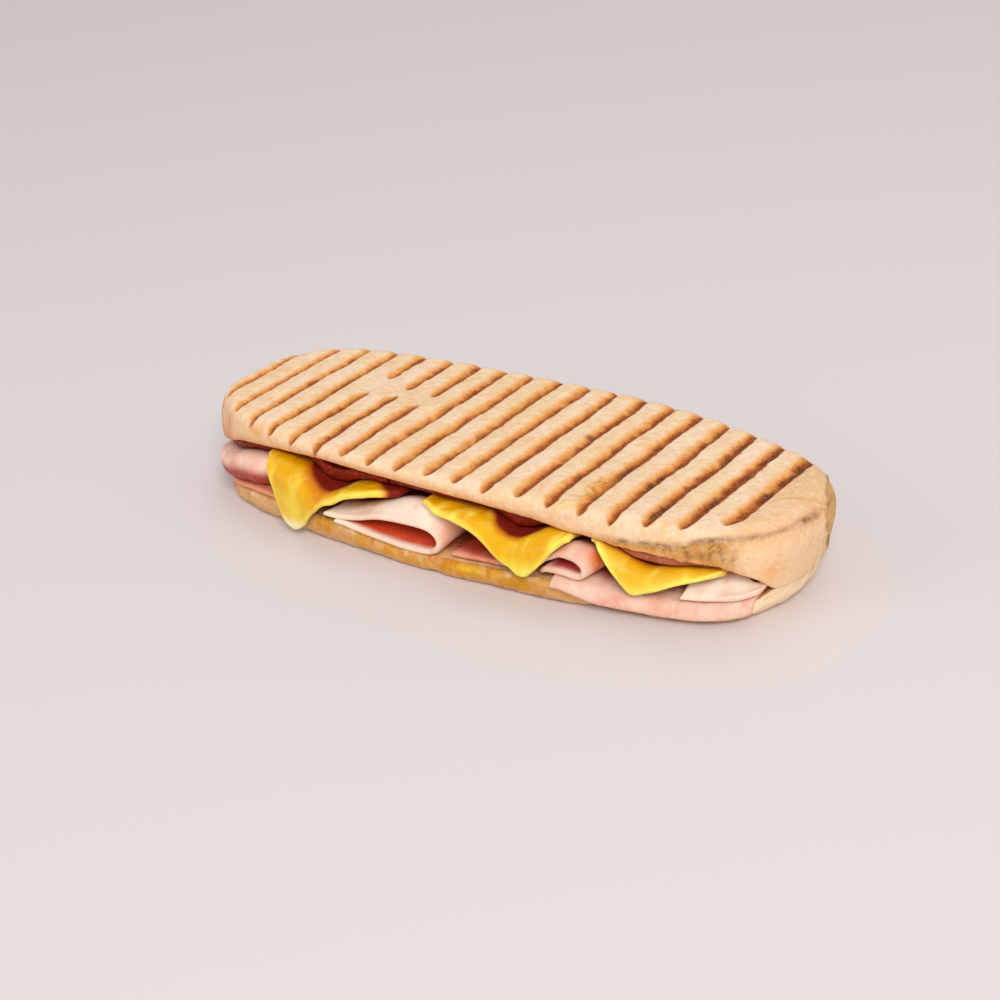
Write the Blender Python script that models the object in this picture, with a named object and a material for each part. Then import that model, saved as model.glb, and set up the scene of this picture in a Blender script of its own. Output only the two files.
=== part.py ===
"""Pressed panini: a slit loaf with grill marks, filled with folded ham and melted cheese.

The loaf lies along X with its right end at +X. The slit opens to the front (-Y) and at the
left end, and the loaf stays whole along the back and round the right end. The origin is at
the middle of the underside. Sizes in this file are in millimetres, and MM turns them into
metres when a mesh is made.
"""
import math

import bmesh
import bpy
import numpy as np

MM = 0.001

# Loaf
LEFT_LENGTH = 125.5
RIGHT_LENGTH = 119.5
WIDTH = 92.0
HEIGHT = 33.6
HALF_WIDTH = WIDTH / 2
END_SHAPE = {"front_left": 2.6, "front_right": 3.0, "back_left": 4.0, "back_right": 2.0}
END_CAP = 0.06
BACK_EDGE_TOP = 19.0
BACK_EDGE_BOTTOM = 13.0
RIGHT_EDGE_TOP = 24.0
RIGHT_EDGE_BOTTOM = 15.0
LIP_FACE = 2.0
SOLE_FACE = 3.4
WALL_SHARE = 0.76
HINGE_ROUND = 8.0
RIM_STEP = 1.6
LIP_STEP = 1.8
RAMP = 14.0
LIP_CURL = 4.0

# Grill marks
MARK_PITCH = 12.0
MARK_COUNT = 19
MARK_MIDDLE = 10.55
MARK_DEPTH = 1.6
UNDER_MARK_DEPTH = 0.8
MARK_FLOOR = 1.1
MARK_EDGE = 2.6
RIDGE_RISE = 0.35
MARK_GAPS = {5: (4.4, 17.3), 6: (6.5, 12.5), 7: (3.0, 11.0)}

# Filling
GAP = 0.35
REST_GAP = 0.5
HAM = 2.0
CHEESE = 2.4
CHEESE_REAR = 19.4
HANG_STEP = 2.4
FOLD_SWING = 0.28
FOLD_ROWS = (0.0, 0.07, 0.16, 0.257, 0.42, 0.68, 1.0)
TOP_HAM_NOSE = 4.4
TOP_HAM_MOST = 4.4
TOP_HAM_GAP = 0.8

# Mesh steps
TOP_STEPS = 14
BOTTOM_STEPS = 9
HINGE_TURNS = (0.707, 0.94)


def smooth_curve(*points):
    """A smooth curve through (place, value) points, level beyond the first and the last."""
    places, values = np.array(points, dtype=float).T
    steps = np.diff(places)
    slopes = np.diff(values) / steps
    before, after = slopes[:-1], slopes[1:]
    same_way = before * after > 0
    total = np.where(same_way, before + after, 1.0)
    tangents = np.zeros(len(places))
    tangents[1:-1] = np.where(same_way, 2 * before * after / total, 0.0)

    def value(place):
        place = np.clip(place, places[0], places[-1])
        k = np.clip(np.searchsorted(places, place, side="right") - 1, 0, len(steps) - 1)
        t = (place - places[k]) / steps[k]
        return (values[k] * (1 + 2 * t) * (1 - t) ** 2
                + values[k + 1] * t * t * (3 - 2 * t)
                + steps[k] * (tangents[k] * t * (1 - t) ** 2 - tangents[k + 1] * t * t * (1 - t)))

    return value


def ease(start, end, place):
    """Rises smoothly from 0 at start to 1 at end."""
    t = np.clip((place - start) / (end - start), 0.0, 1.0)
    return t * t * (3 - 2 * t)


def mix(a, b, share):
    return a + (b - a) * share


def rolled(depth, power):
    """Height share of a rolled edge, from 0 at the outline to 1 at full depth."""
    t = np.clip(depth, 0.0, 1.0)
    return (1 - (1 - t) ** power) ** (1 / power)


# Heights and setbacks along the loaf, as (x, value)
lip_height = smooth_curve((-125, 14.6), (-112, 18.0), (-98, 22.4), (-82, 25.4), (-70, 26.9),
                          (-50, 28.0), (-30, 27.8), (0, 27.2), (20, 26.6), (32, 25.8),
                          (46, 24.8), (60, 24.5), (70, 24.0), (82, 23.0), (92, 22.2),
                          (99, 21.2), (108, 16.9), (113, 13.6), (116.5, 11.2), (120, 10.6))
roof_height = smooth_curve((-125, 14.6), (-112, 18.0), (-98, 22.4), (-82, 24.8), (-70, 25.4),
                           (-50, 26.4), (58, 26.4), (70, 25.2), (82, 23.7), (98, 21.0),
                           (108, 16.6), (113, 13.4), (116.5, 11.2), (120, 10.6))
sole_rim = smooth_curve((-125, 4.6), (-112, 4.9), (-104, 5.5), (-96, 6.6), (-88, 8.0),
                        (-75, 8.8), (-60, 9.0), (-45, 9.0), (-30, 7.4), (-12, 5.8), (5, 6.2),
                        (20, 7.2), (48, 8.0), (66, 6.4), (95, 5.4), (105, 5.8), (111, 6.8),
                        (116, 8.6), (120, 9.0))
top_setback = smooth_curve((30, 5.2), (70, 2.4), (95, -0.4))
sole_setback = smooth_curve((45, 0.0), (68, 2.4), (98, 2.4), (114, 0.0))
cut_end = smooth_curve((50, 36), (76, 24), (90, 8), (101, -12), (109, -18), (115, -15))

# How far each end is drawn in, as (height, length)
right_tuck = smooth_curve((0, 6.0), (6, 5.4), (12, 3.5), (18, 2.0), (27, 0.0))
left_tuck = smooth_curve((0, 6.0), (8, 4.0), (15, 1.2), (21, 0.0))


def half_length(x):
    return np.where(x < 0, LEFT_LENGTH, RIGHT_LENGTH)


def half_width(x, exponent, width):
    share = np.clip(1 - np.abs(x / half_length(x)) ** exponent, 1e-9, 1.0)
    return width * share ** (1 / exponent)


def front_shape(x):
    return np.where(x < 0, END_SHAPE["front_left"], END_SHAPE["front_right"])


def back_shape(x):
    return np.where(x < 0, END_SHAPE["back_left"], END_SHAPE["back_right"])


def back_line(x):
    return half_width(x, back_shape(x), HALF_WIDTH)


def top_front_line(x):
    return -half_width(x, front_shape(x), HALF_WIDTH - top_setback(x))


def sole_front_line(x):
    return -half_width(x, front_shape(x), HALF_WIDTH - sole_setback(x))


def hinge_line(x):
    """Where the slit ends inside the loaf."""
    front = top_front_line(x)
    across = back_line(x) - front
    shallow = front + np.minimum(3.0, 0.25 * across)
    return np.minimum(WALL_SHARE * back_line(x), np.maximum(cut_end(x), shallow))


def inset(x, y, front_width):
    """How far inside the plan outline a point lies, measured on like outlines nested in it."""
    front = y < 0
    exponent = np.where(front, front_shape(x), back_shape(x))
    width = np.where(front, front_width, HALF_WIDTH)
    low = np.zeros_like(x + y)
    high = width - 0.01 + low
    for _ in range(30):
        middle = (low + high) / 2
        reach = ((np.abs(x) / (half_length(x) - middle)) ** exponent
                 + (np.abs(y) / (width - middle)) ** exponent)
        low = np.where(reach < 1, middle, low)
        high = np.where(reach < 1, high, middle)
    return low


def edge_heights(x, y):
    """Heights of the upper and the lower half's outer edge."""
    back_top = mix(BACK_EDGE_TOP, RIGHT_EDGE_TOP, ease(70, 116, x))
    back_bottom = mix(BACK_EDGE_BOTTOM, RIGHT_EDGE_BOTTOM, ease(70, 116, x))
    front_top = lip_height(x) + LIP_FACE
    front_bottom = sole_rim(x) - SOLE_FACE
    closing = mix(ease(8, 24, y), ease(-8, 14, y), ease(-40, 60, x))
    return mix(front_top, back_top, closing), mix(front_bottom, back_bottom, closing)


def mark_profile(x):
    """Depth share of the grill marks across the loaf, 1 on a mark's floor."""
    place = (x / MARK_PITCH + MARK_MIDDLE) % 1.0
    distance = np.minimum(place, 1 - place) * MARK_PITCH
    first = x > (0.5 - MARK_MIDDLE) * MARK_PITCH
    last = x < (MARK_COUNT + 0.5 - MARK_MIDDLE) * MARK_PITCH
    return (1 - ease(MARK_FLOOR, MARK_EDGE, distance)) * first * last


def mark_gap(x, y):
    """1 where a dent keeps the grill off the crust."""
    gap = np.zeros_like(x + y)
    for number, (start, end) in MARK_GAPS.items():
        near = np.abs(x - (number - MARK_MIDDLE) * MARK_PITCH) < MARK_PITCH / 2
        gap = gap + near * ease(start - 1.5, start + 1.5, y) * (1 - ease(end - 1.5, end + 1.5, y))
    return gap


def top_height(x, y):
    depth = inset(x, y, HALF_WIDTH - top_setback(x))
    edge = edge_heights(x, y)[0]
    roll = mix(6.0, 9.0, ease(-15, 15, y)) + 2.0 * ease(90, 116, np.abs(x))
    height = edge + (HEIGHT - RIDGE_RISE - edge) * rolled(depth / roll, 2.3 + 0.9 * ease(80, 108, x))
    pressed = ease(1.2, 4.5, depth)
    marks = mark_profile(x)
    height = height + RIDGE_RISE * pressed * (1 - marks) * np.sin(
        math.pi * ((x / MARK_PITCH + MARK_MIDDLE) % 1.0)) ** 2
    return height - MARK_DEPTH * marks * pressed * (1 - mark_gap(x, y))


def bottom_height(x, y):
    depth = inset(x, y, HALF_WIDTH - sole_setback(x))
    edge = edge_heights(x, y)[1]
    roll = mix(5.0, 9.0, ease(-15, 15, y)) + 5.0 * ease(90, 116, x)
    height = edge * (1 - rolled(depth / roll, 2.2))
    return height + UNDER_MARK_DEPTH * mark_profile(x) * ease(roll, roll + 3.0, depth)


def slenderness(x):
    """Shrinks the small steps of the rim and the lip where the loaf's ends get narrow."""
    return np.minimum(1.0, (back_line(x) - top_front_line(x)) / 14.0)


def rim_line(x):
    return sole_front_line(x) + RIM_STEP * slenderness(x)


def lip_line(x):
    return top_front_line(x) + LIP_STEP * slenderness(x)


def hinge_round(x):
    return np.minimum(HINGE_ROUND, 0.3 * (hinge_line(x) - lip_line(x)))


def ramp_length(x):
    return np.minimum(RAMP, 0.3 * (hinge_line(x) - lip_line(x)))


def lip_curl(x):
    return np.minimum(LIP_CURL, 0.3 * (hinge_line(x) - lip_line(x)))


def toward_hinge(height, x, y):
    """Rounds the end of the slit off, where its two faces meet."""
    t = np.clip((y - hinge_line(x)) / hinge_round(x) + 1, 0.0, 1.0)
    middle = (lip_height(x) + sole_rim(x)) / 2
    return height + (middle - height) * (1 - np.sqrt(1 - t * t))


def mouth_floor(x, y):
    """Top of the lower half, which carries the filling."""
    deep = 9.2 - 3.0 * ease(80, 112, x) - 3.4 * ease(82, 112, -x)
    deep = np.maximum(sole_rim(x) + 0.4, deep)
    share = np.clip((y - rim_line(x)) / ramp_length(x), 0.0, 1.0)
    return toward_hinge(mix(sole_rim(x), deep, share), x, y)


def mouth_ceiling(x, y):
    """Underside of the upper half, whose front edge curls down a little."""
    share = np.clip((y - lip_line(x)) / lip_curl(x), 0.0, 1.0)
    return toward_hinge(mix(lip_height(x), roof_height(x), share), x, y)


def deepest(x, clearance=3.0):
    """How far back a slice may reach before the slit rounds off."""
    return hinge_line(x) - hinge_round(x) - clearance


def tucked(points):
    """Draws the lower part of both ends in under the upper half."""
    points = np.array(points, dtype=float)
    x, z = points[..., 0], points[..., 2]
    points[..., 0] = (x - right_tuck(z) * ease(92, 117, x)
                      + left_tuck(z) * ease(95, 122, -x))
    return points


def spread(start, end, steps):
    """Places from start to end, closer together near both ends."""
    turn = np.linspace(0.0, math.pi, steps + 1)
    return start + (end - start) * (1 - np.cos(turn)) / 2


def loaf_section(x):
    """The closed outline of the loaf in the plane at x, from the lip over the top."""
    lip, sole, back, hinge = top_front_line(x), sole_front_line(x), back_line(x), hinge_line(x)
    small = slenderness(x)
    over = spread(lip, back, TOP_STEPS)
    under = spread(back, sole, BOTTOM_STEPS)
    round_start = hinge - hinge_round(x)
    turns = [round_start + hinge_round(x) * turn for turn in HINGE_TURNS]
    floor_y = np.array([rim_line(x), rim_line(x) + ramp_length(x), round_start, *turns, hinge])
    roof_y = np.array([*turns[::-1], round_start, lip_line(x) + lip_curl(x), lip_line(x)])
    points = list(zip(over, top_height(x, over)))
    points += list(zip(under, bottom_height(x, under)))
    points.append((sole + 0.4 * small, sole_rim(x) - 1.2))
    points += list(zip(floor_y, mouth_floor(x, floor_y)))
    points += list(zip(roof_y, mouth_ceiling(x, roof_y)))
    points.append((lip + 0.5 * small, lip_height(x) + 0.5))
    return [(x, y, z) for y, z in points]


def loaf_stations():
    """Places along the loaf: closer at the ends, and on every side and floor of the marks."""
    turn = np.radians([2.0, 5.0, 9.0, 13.5, 18.0])
    start, end = END_CAP - LEFT_LENGTH, RIGHT_LENGTH - END_CAP
    stations = [start, end, 109.0]
    stations += list(start + LEFT_LENGTH * (1 - np.cos(turn)))
    stations += list(end - RIGHT_LENGTH * (1 - np.cos(turn)))
    for number in range(1, MARK_COUNT + 1):
        middle = (number - MARK_MIDDLE) * MARK_PITCH
        stations += [middle - MARK_EDGE, middle - MARK_FLOOR, middle + MARK_FLOOR,
                     middle + MARK_EDGE]
        if number < MARK_COUNT:
            stations.append(middle + MARK_PITCH / 2)
    stations = sorted(stations)
    kept = [stations[0]]
    for place in stations[1:]:
        if place - kept[-1] > 0.5 or place > end - 0.5:
            kept.append(place)
    return kept


def add_object(name, vertices, faces, material):
    mesh = bpy.data.meshes.new(name)
    mesh.from_pydata([tuple(place) for place in tucked(vertices) * MM], [], faces)
    work = bmesh.new()
    work.from_mesh(mesh)
    bmesh.ops.triangulate(work, faces=[f for f in work.faces if len(f.verts) > 4])
    bmesh.ops.recalc_face_normals(work, faces=work.faces)
    work.to_mesh(mesh)
    work.free()
    mesh.materials.append(material)
    mesh.shade_smooth()
    mesh.set_sharp_from_angle(angle=math.radians(50))
    item = bpy.data.objects.new(name, mesh)
    bpy.context.scene.collection.objects.link(item)
    return item


def add_loaf(material):
    rings = [loaf_section(x) for x in loaf_stations()]
    count = len(rings[0])
    vertices = [point for ring in rings for point in ring]
    faces = [tuple(range(count)), tuple(range(len(vertices) - count, len(vertices)))]
    for ring in range(len(rings) - 1):
        for k in range(count):
            a = ring * count + k
            b = ring * count + (k + 1) % count
            faces.append((a, b, b + count))
            faces.append((a, b + count, a + count))
    return add_object("bread", vertices, faces, material)


def add_sheet(name, grid, thickness, material):
    """A closed slice round a grid of points on its middle surface."""
    grid = np.asarray(grid, dtype=float)
    along, across = np.gradient(grid, axis=0), np.gradient(grid, axis=1)
    normal = np.cross(along, across)
    normal /= np.linalg.norm(normal, axis=2, keepdims=True)
    offset = normal * thickness / 2
    return add_slab(name, grid + offset, grid - offset, material)


def add_slab(name, upper, lower, material):
    """A closed slice between two grids of points."""
    rows, columns = upper.shape[:2]
    vertices = np.concatenate([upper.reshape(-1, 3), lower.reshape(-1, 3)])
    shift = rows * columns
    faces = []
    for i in range(rows - 1):
        for j in range(columns - 1):
            a, b = i * columns + j, i * columns + j + 1
            c, d = b + columns, a + columns
            faces += [(a, b, c), (a, c, d), (a + shift, c + shift, b + shift),
                      (a + shift, d + shift, c + shift)]
    rim = list(range(columns))
    rim += [i * columns + columns - 1 for i in range(1, rows)]
    rim += [(rows - 1) * columns + j for j in range(columns - 2, -1, -1)]
    rim += [i * columns for i in range(rows - 2, 0, -1)]
    for k, a in enumerate(rim):
        b = rim[(k + 1) % len(rim)]
        faces += [(b, a, a + shift), (b, a + shift, b + shift)]
    return add_object(name, vertices, faces, material)


# Height of the cheese layer's middle under the lip, as (x, z): it sags where a corner hangs out
cheese_crest = smooth_curve((-72, 23.8), (-63, 23.2), (-55, 20.6), (-49, 18.4), (-44, 18.8),
                            (-38, 21.4), (-30, 22.8), (6, 23.2), (15, 23.0), (20, 22.4),
                            (25, 20.2), (29, 18.8), (33, 19.4), (38, 21.4), (44, 22.8),
                            (54, 22.8), (61, 22.4), (66, 21.6), (73, 19.2), (80, 18.0),
                            (90, 18.4), (98, 17.2), (104, 15.2))


def cheese_level(x, y):
    """Middle height of the cheese layer inside the mouth."""
    behind = y - sole_front_line(x)
    rear = np.minimum(CHEESE_REAR, cheese_crest(x))
    return mix(cheese_crest(x), rear, ease(5, mix(26, 18, ease(18, 44, x)), behind))


def cheese_slice(edge, tip, bend=4.5, steps=(5, 7, 11)):
    """A slice whose front hangs down, as deep as edge says at each x, and deepest at tip."""
    start, end = edge[0][0], edge[-1][0]
    x = np.concatenate([np.linspace(start, tip, steps[0])[:-1], np.linspace(tip, end, steps[1])])
    x = x[:, None]
    share = np.linspace(0, 1, steps[2])[None, :] ** 1.3
    crest = sole_front_line(x) - HANG_STEP + bend
    reach = mix(smooth_curve(*edge)(x), crest - deepest(x, 4.0), share)
    turn = np.clip(reach / bend, 0.0, math.pi / 2)
    drop = bend * (1 - np.cos(turn)) + np.maximum(reach - bend * math.pi / 2, 0.0)
    y = crest - np.minimum(reach, 0.0) - bend * np.sin(turn)
    return np.stack(np.broadcast_arrays(x, y, cheese_level(x, y) - drop), axis=-1)


def add_cheeses(material):
    """Three square slices, each with a corner hanging out, as (x, reach over the rim)."""
    edges = {
        "cheese_left": ((-79.5, -2), (-75.4, 2.7), (-72.1, 7.6), (-69.4, 17.7), (-66.5, 22.4),
                        (-63, 23.2), (-57.2, 18.1), (-53.9, 12.8), (-47, 5.6), (-39.5, 4.2),
                        (-32.7, 3.2), (-27, 0.6), (-23, -1)),
        "cheese_middle": ((0, -4), (9, -1), (15.9, 3), (24.2, 6.8), (31.3, 10.2), (34.6, 13.2),
                          (37.1, 14.0), (41.2, 11.9), (45.3, 8.0), (48.7, 3.4), (51, -0.6)),
        "cheese_right": ((57.2, -2), (61.7, 2.6), (65, 6.0), (71.1, 11.7), (73, 12.9),
                         (77.6, 10.4), (84, 7.9), (90.1, 6.0), (97.2, 2.3), (100, -0.5)),
    }
    for name, edge in edges.items():
        tip = max(edge, key=lambda point: point[1])[0]
        add_sheet(name, cheese_slice(edge, tip), CHEESE, material)


def folded_ham(front, rear, left, right, heights, bend, legs, steps=20):
    """A slice folded over at its right side, open to the front like a flat tube.

    heights gives the upper leg's height above the lower one as (share, height) at the front
    and at the crest, and legs gives how far each leg runs past the left end.
    """
    y = mix(front, rear, np.array(FOLD_ROWS))[:, None]
    share = np.linspace(0, 1, steps)[None, :]
    low_leg, high_leg = 0.36, 0.62
    run = np.where(share < low_leg, share / low_leg,
                   np.where(share > high_leg, (1 - share) / (1 - high_leg), 1.0))
    turn = np.clip((share - low_leg) / (high_leg - low_leg), 0, 1) * math.pi - math.pi / 2
    start = np.where(share < low_leg, left + legs[0], left - legs[1])
    middle = right - bend
    x = mix(start, middle, run) + bend * np.cos(turn) * (run >= 1.0)
    x = x + FOLD_SWING * (y - front)
    under = ham_rest(x, y) + REST_GAP + HAM / 2
    height = heights(run + 0 * y, y)
    upper = (1 + np.sin(turn)) / 2
    return np.stack(np.broadcast_arrays(x, y, under + upper * height), axis=-1)


def ham_rest(x, y):
    """What the folded ham lies on: the lower half, or the low slice at the right."""
    return mouth_floor(x, y) + (HAM + REST_GAP) * ease(38, 43, x)


def tube_heights(front, crest, rear, taper):
    """Height of a fold's upper leg over the lower one, by share of the run and by y."""
    def height(run, y):
        rise = mix(front, crest, ease(-47, -38, y))
        rise = mix(rise, rear, ease(-39, -26, y))
        return rise * mix(taper, 1.0, ease(0.05, 0.8, run))
    return height


def floor_places(x, front, rear):
    """Places from front to rear at which a slice bends with the floor under it."""
    rear = np.minimum(deepest(x), rear)
    knee = np.minimum(rim_line(x) + ramp_length(x), mix(front, rear, 0.6))
    return [front, (front + knee) / 2, knee, (knee + rear) / 2, rear]


def low_slice_grid(start=45.0, end=112.0, steps=16):
    """The lowest slice at the right, draped over the rim of the lower half."""
    hang_share = smooth_curve((45, 0.2), (58, 0.5), (70, 1.0), (106, 1.0), (112, 0.8))
    lift = REST_GAP + HAM / 2
    radius = 2.2
    rows = []
    for x in np.linspace(start, end, steps):
        share = hang_share(x)
        turns = np.radians(95 * min(1.0, 0.45 + share)) * np.linspace(1, 0, 5)
        rim_y, rim_z = sole_front_line(x) + radius - 0.3, sole_rim(x) - radius
        arc_y = rim_y - (radius + lift) * np.sin(turns)
        arc_z = rim_z + (radius + lift) * np.cos(turns)
        hang = max(0.5, (arc_z[0] - 2.8) * share ** 1.5)
        down, out = math.sin(turns[0]), math.cos(turns[0])
        row = [(x, arc_y[0] - hang * part * out, arc_z[0] - hang * part * down)
               for part in (1.0, 0.5)]
        row += [(x, y, z) for y, z in zip(arc_y, arc_z)]
        row += [(x, y, mouth_floor(x, y) + lift) for y in floor_places(x, rim_y, 18.0)[1:]]
        rows.append(row)
    return rows


def left_fold(x):
    """Radius, front and rear of the fold at the left end."""
    radius = smooth_curve((-121, 1.5), (-114, 2.3), (-106, 2.9), (-98, 3.7), (-91, 4.0),
                          (-84, 4.0), (-72, 3.3))(x)
    front = sole_front_line(x) + radius - 0.6 - 1.0 * ease(90, 108, -x) + 4.0 * ease(-86, -75, x)
    return radius, front, np.minimum(deepest(x), 8.0)


def left_fold_legs(x, y, radius, behind):
    """Heights of that fold's lower and upper leg, by the share of its length behind."""
    lower = mouth_floor(x, y) + REST_GAP + GAP + 1.5 * HAM
    return lower, lower + mix(2 * radius, np.minimum(2 * radius, 3.2), ease(0.0, 0.42, behind))


def rolled_ham_grid(start=-121.0, end=-70.0, steps=(11, 18)):
    """The fold at the left end: its round nose follows the loaf's outline."""
    x = mix(start, end, np.linspace(0, 1, steps[0]))[:, None]
    share = np.linspace(0, 1, steps[1])[None, :]
    low_leg, high_leg = 0.3, 0.7
    radius, front, rear = left_fold(x)
    run = np.where(share < low_leg, share / low_leg,
                   np.where(share > high_leg, (1 - share) / (1 - high_leg), 1.0))
    turn = np.clip((share - low_leg) / (high_leg - low_leg), 0, 1) * math.pi
    y = mix(rear, front, run) - radius * np.sin(turn)
    lower, upper = left_fold_legs(x, y, radius, 1 - run)
    z = mix(lower, upper, (1 - np.cos(turn)) / 2)
    z = np.minimum(z, mouth_ceiling(x, y) - REST_GAP - HAM / 2)
    return np.stack(np.broadcast_arrays(x, y, z), axis=-1)


def flat_slice_grid(start, end, front, rear, height, steps, lean=0.0):
    """A slice that lies at a height, from front behind the rim's edge to a rear line.

    lean moves its left edge to the right, by so much for each step back.
    """
    along = np.linspace(0, 1, steps)[:, None]
    x = mix(start, end, along)
    y = np.concatenate(floor_places(x, sole_front_line(x) + front, rear), axis=1)
    x = x + lean * (y + HALF_WIDTH) * (1 - along)
    return np.stack(np.broadcast_arrays(x, y, height(x, y)), axis=-1)


def low_height(x, y):
    return mouth_floor(x, y) + REST_GAP + HAM / 2


def pale_slice_height(x, y):
    """The pale slice at the right lies on the low one and rises behind its rim."""
    behind = y - sole_front_line(x)
    rise = smooth_curve((84, 2.4), (98, 2.6), (107, 1.6), (112, 0.2))(x)
    return mouth_floor(x, y) + REST_GAP + GAP + 1.5 * HAM + rise * ease(-1, 9, behind)


def above_cheese(x, y):
    return cheese_level(x, y) + CHEESE / 2 + TOP_HAM_GAP


def above_left_fold(x, y):
    radius, front, rear = left_fold(x)
    behind = np.clip((y - front) / (rear - front), 0.0, 1.0)
    return left_fold_legs(x, y, radius, behind)[1] + HAM / 2 + TOP_HAM_GAP


def top_ham(start, end, below, steps):
    """Upper and lower face of a slice that fills the mouth above the height below."""
    x = mix(start, end, np.linspace(0, 1, steps[0]))[:, None]
    share = np.linspace(0, 1, steps[1])[None, :] ** 1.7
    front = top_front_line(x) + TOP_HAM_NOSE
    y = mix(front, np.minimum(deepest(x), 20.0), share)
    low = below(x, y)
    room = np.minimum(mouth_ceiling(x, y) - REST_GAP - low, TOP_HAM_MOST)
    nose = np.sqrt(np.clip((y - front + 0.4) / 2.6, 0, 1))
    return [np.stack(np.broadcast_arrays(x, y, low + room * (1 + side * nose) / 2), axis=-1)
            for side in (1, -1)]


def make_material(name, colour, roughness):
    material = bpy.data.materials.new(name)
    material.use_nodes = True
    surface = material.node_tree.nodes["Principled BSDF"]
    surface.inputs["Base Color"].default_value = (*colour, 1.0)
    surface.inputs["Roughness"].default_value = roughness
    surface.inputs["Metallic"].default_value = 0.0
    return material


def clear_scene():
    for item in list(bpy.data.objects):
        bpy.data.objects.remove(item, do_unlink=True)


def add_hams(material):
    """The folded, draped and flat slices, from the front of the bite to the back."""
    middle_fold = folded_ham(front=-46.4, rear=16.0, left=-46.4, right=1.0,
                             heights=tube_heights(9.2, 12.0, 5.6, 0.2), bend=7.0,
                             legs=(3.0, 1.4))
    right_fold = folded_ham(front=-45.0, rear=10.0, left=40.0, right=57.0,
                            heights=tube_heights(6.0, 7.2, 3.2, 0.5), bend=4.5,
                            legs=(1.0, 1.0))
    low_left = flat_slice_grid(-114, -61, -0.4, 10.0, low_height, 12)
    low_middle = flat_slice_grid(4.0, 37.6, 2.0, 6.0, low_height, 6, lean=FOLD_SWING)
    pale_right = flat_slice_grid(88, 113, -1.6, -8.0, pale_slice_height, 10)
    add_sheet("ham_fold_left", rolled_ham_grid(), HAM, material)
    add_sheet("ham_fold_middle", middle_fold, HAM, material)
    add_sheet("ham_fold_right", right_fold, HAM, material)
    add_sheet("ham_low_left", low_left, HAM, material)
    add_sheet("ham_low_middle", low_middle, HAM, material)
    add_sheet("ham_low_right", low_slice_grid(), HAM, material)
    add_sheet("ham_pale_right", pale_right, HAM, material)
    add_slab("ham_top_end", *top_ham(-114, -81, above_left_fold, (8, 6)), material)
    add_slab("ham_top_left", *top_ham(-66, -24, above_cheese, (14, 7)), material)
    add_slab("ham_top_middle", *top_ham(-23, 56, above_cheese, (16, 7)), material)
    add_slab("ham_top_right", *top_ham(57, 96, above_cheese, (14, 7)), material)


def main():
    clear_scene()
    add_loaf(make_material("crust", (0.80, 0.50, 0.28), 0.75))
    add_cheeses(make_material("cheese", (0.90, 0.58, 0.06), 0.35))
    add_hams(make_material("ham", (0.83, 0.50, 0.42), 0.45))


main()
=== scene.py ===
"""Looks of the pressed panini: crust with browned grill marks, melted cheese and folded ham.

Every piece repeats the form of the part's solid with the same name, with a finer surface.
Sizes in this file are in millimetres, and MM turns them into metres when a mesh is made.
"""
import math
from types import SimpleNamespace

import bpy
import numpy as np
from mathutils import Matrix, Vector

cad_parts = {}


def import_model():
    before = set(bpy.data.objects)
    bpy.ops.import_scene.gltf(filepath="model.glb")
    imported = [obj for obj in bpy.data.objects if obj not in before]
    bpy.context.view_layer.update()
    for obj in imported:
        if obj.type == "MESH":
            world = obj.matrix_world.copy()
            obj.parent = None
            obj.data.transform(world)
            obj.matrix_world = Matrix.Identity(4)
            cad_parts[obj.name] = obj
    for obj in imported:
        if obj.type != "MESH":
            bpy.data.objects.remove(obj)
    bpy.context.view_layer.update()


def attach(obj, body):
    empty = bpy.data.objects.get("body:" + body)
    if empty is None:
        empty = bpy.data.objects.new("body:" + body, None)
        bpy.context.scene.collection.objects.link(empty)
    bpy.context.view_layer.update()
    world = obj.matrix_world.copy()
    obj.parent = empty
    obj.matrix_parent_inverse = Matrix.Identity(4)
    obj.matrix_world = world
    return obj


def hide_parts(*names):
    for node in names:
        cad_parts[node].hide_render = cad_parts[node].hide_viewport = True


MM = 0.001

# Loaf
LEFT_LENGTH = 125.5
RIGHT_LENGTH = 119.5
HEIGHT = 33.6
HALF_WIDTH = 46.0
END_SHAPE = {"front": (2.6, 3.0), "back": (4.0, 2.0)}
END_CAP = 0.06
BACK_EDGE_TOP = 19.0
BACK_EDGE_BOTTOM = 13.0
RIGHT_EDGE_TOP = 24.0
RIGHT_EDGE_BOTTOM = 15.0
LIP_FACE = 2.0
SOLE_FACE = 3.4
WALL_SHARE = 0.76
HINGE_ROUND = 8.0
RIM_STEP = 1.6
LIP_STEP = 1.8
RAMP = 14.0
LIP_CURL = 4.0

# Grill marks
MARK_PITCH = 12.0
MARK_COUNT = 19
MARK_MIDDLE = 10.55
MARK_DEPTH = 1.6
UNDER_MARK_DEPTH = 0.8
RIDGE_RISE = 0.35
CRUST_DROP = 0.27
MARK_GAPS = {5: (4.4, 17.3), 6: (6.5, 12.5), 7: (3.0, 11.0)}

# Filling
GAP = 0.35
REST_GAP = 0.5
HAM = 2.0
CHEESE = 2.4
CHEESE_REAR = 19.4
CHEESE_BEND = 4.5
HANG_STEP = 2.4
HANG_RADIUS = 2.2
HANG_FOOT = 2.8
FOLD_SWING = 0.28
FOLD_ROWS = (0.0, 0.07, 0.16, 0.257, 0.42, 0.68, 1.0)
FOLD_LEGS = (0.36, 0.62)
ROLL_LEGS = (0.3, 0.7)
TOP_HAM_NOSE = 2.6
TOP_HAM_MOST = 4.4
TOP_HAM_GAP = 0.8

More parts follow.
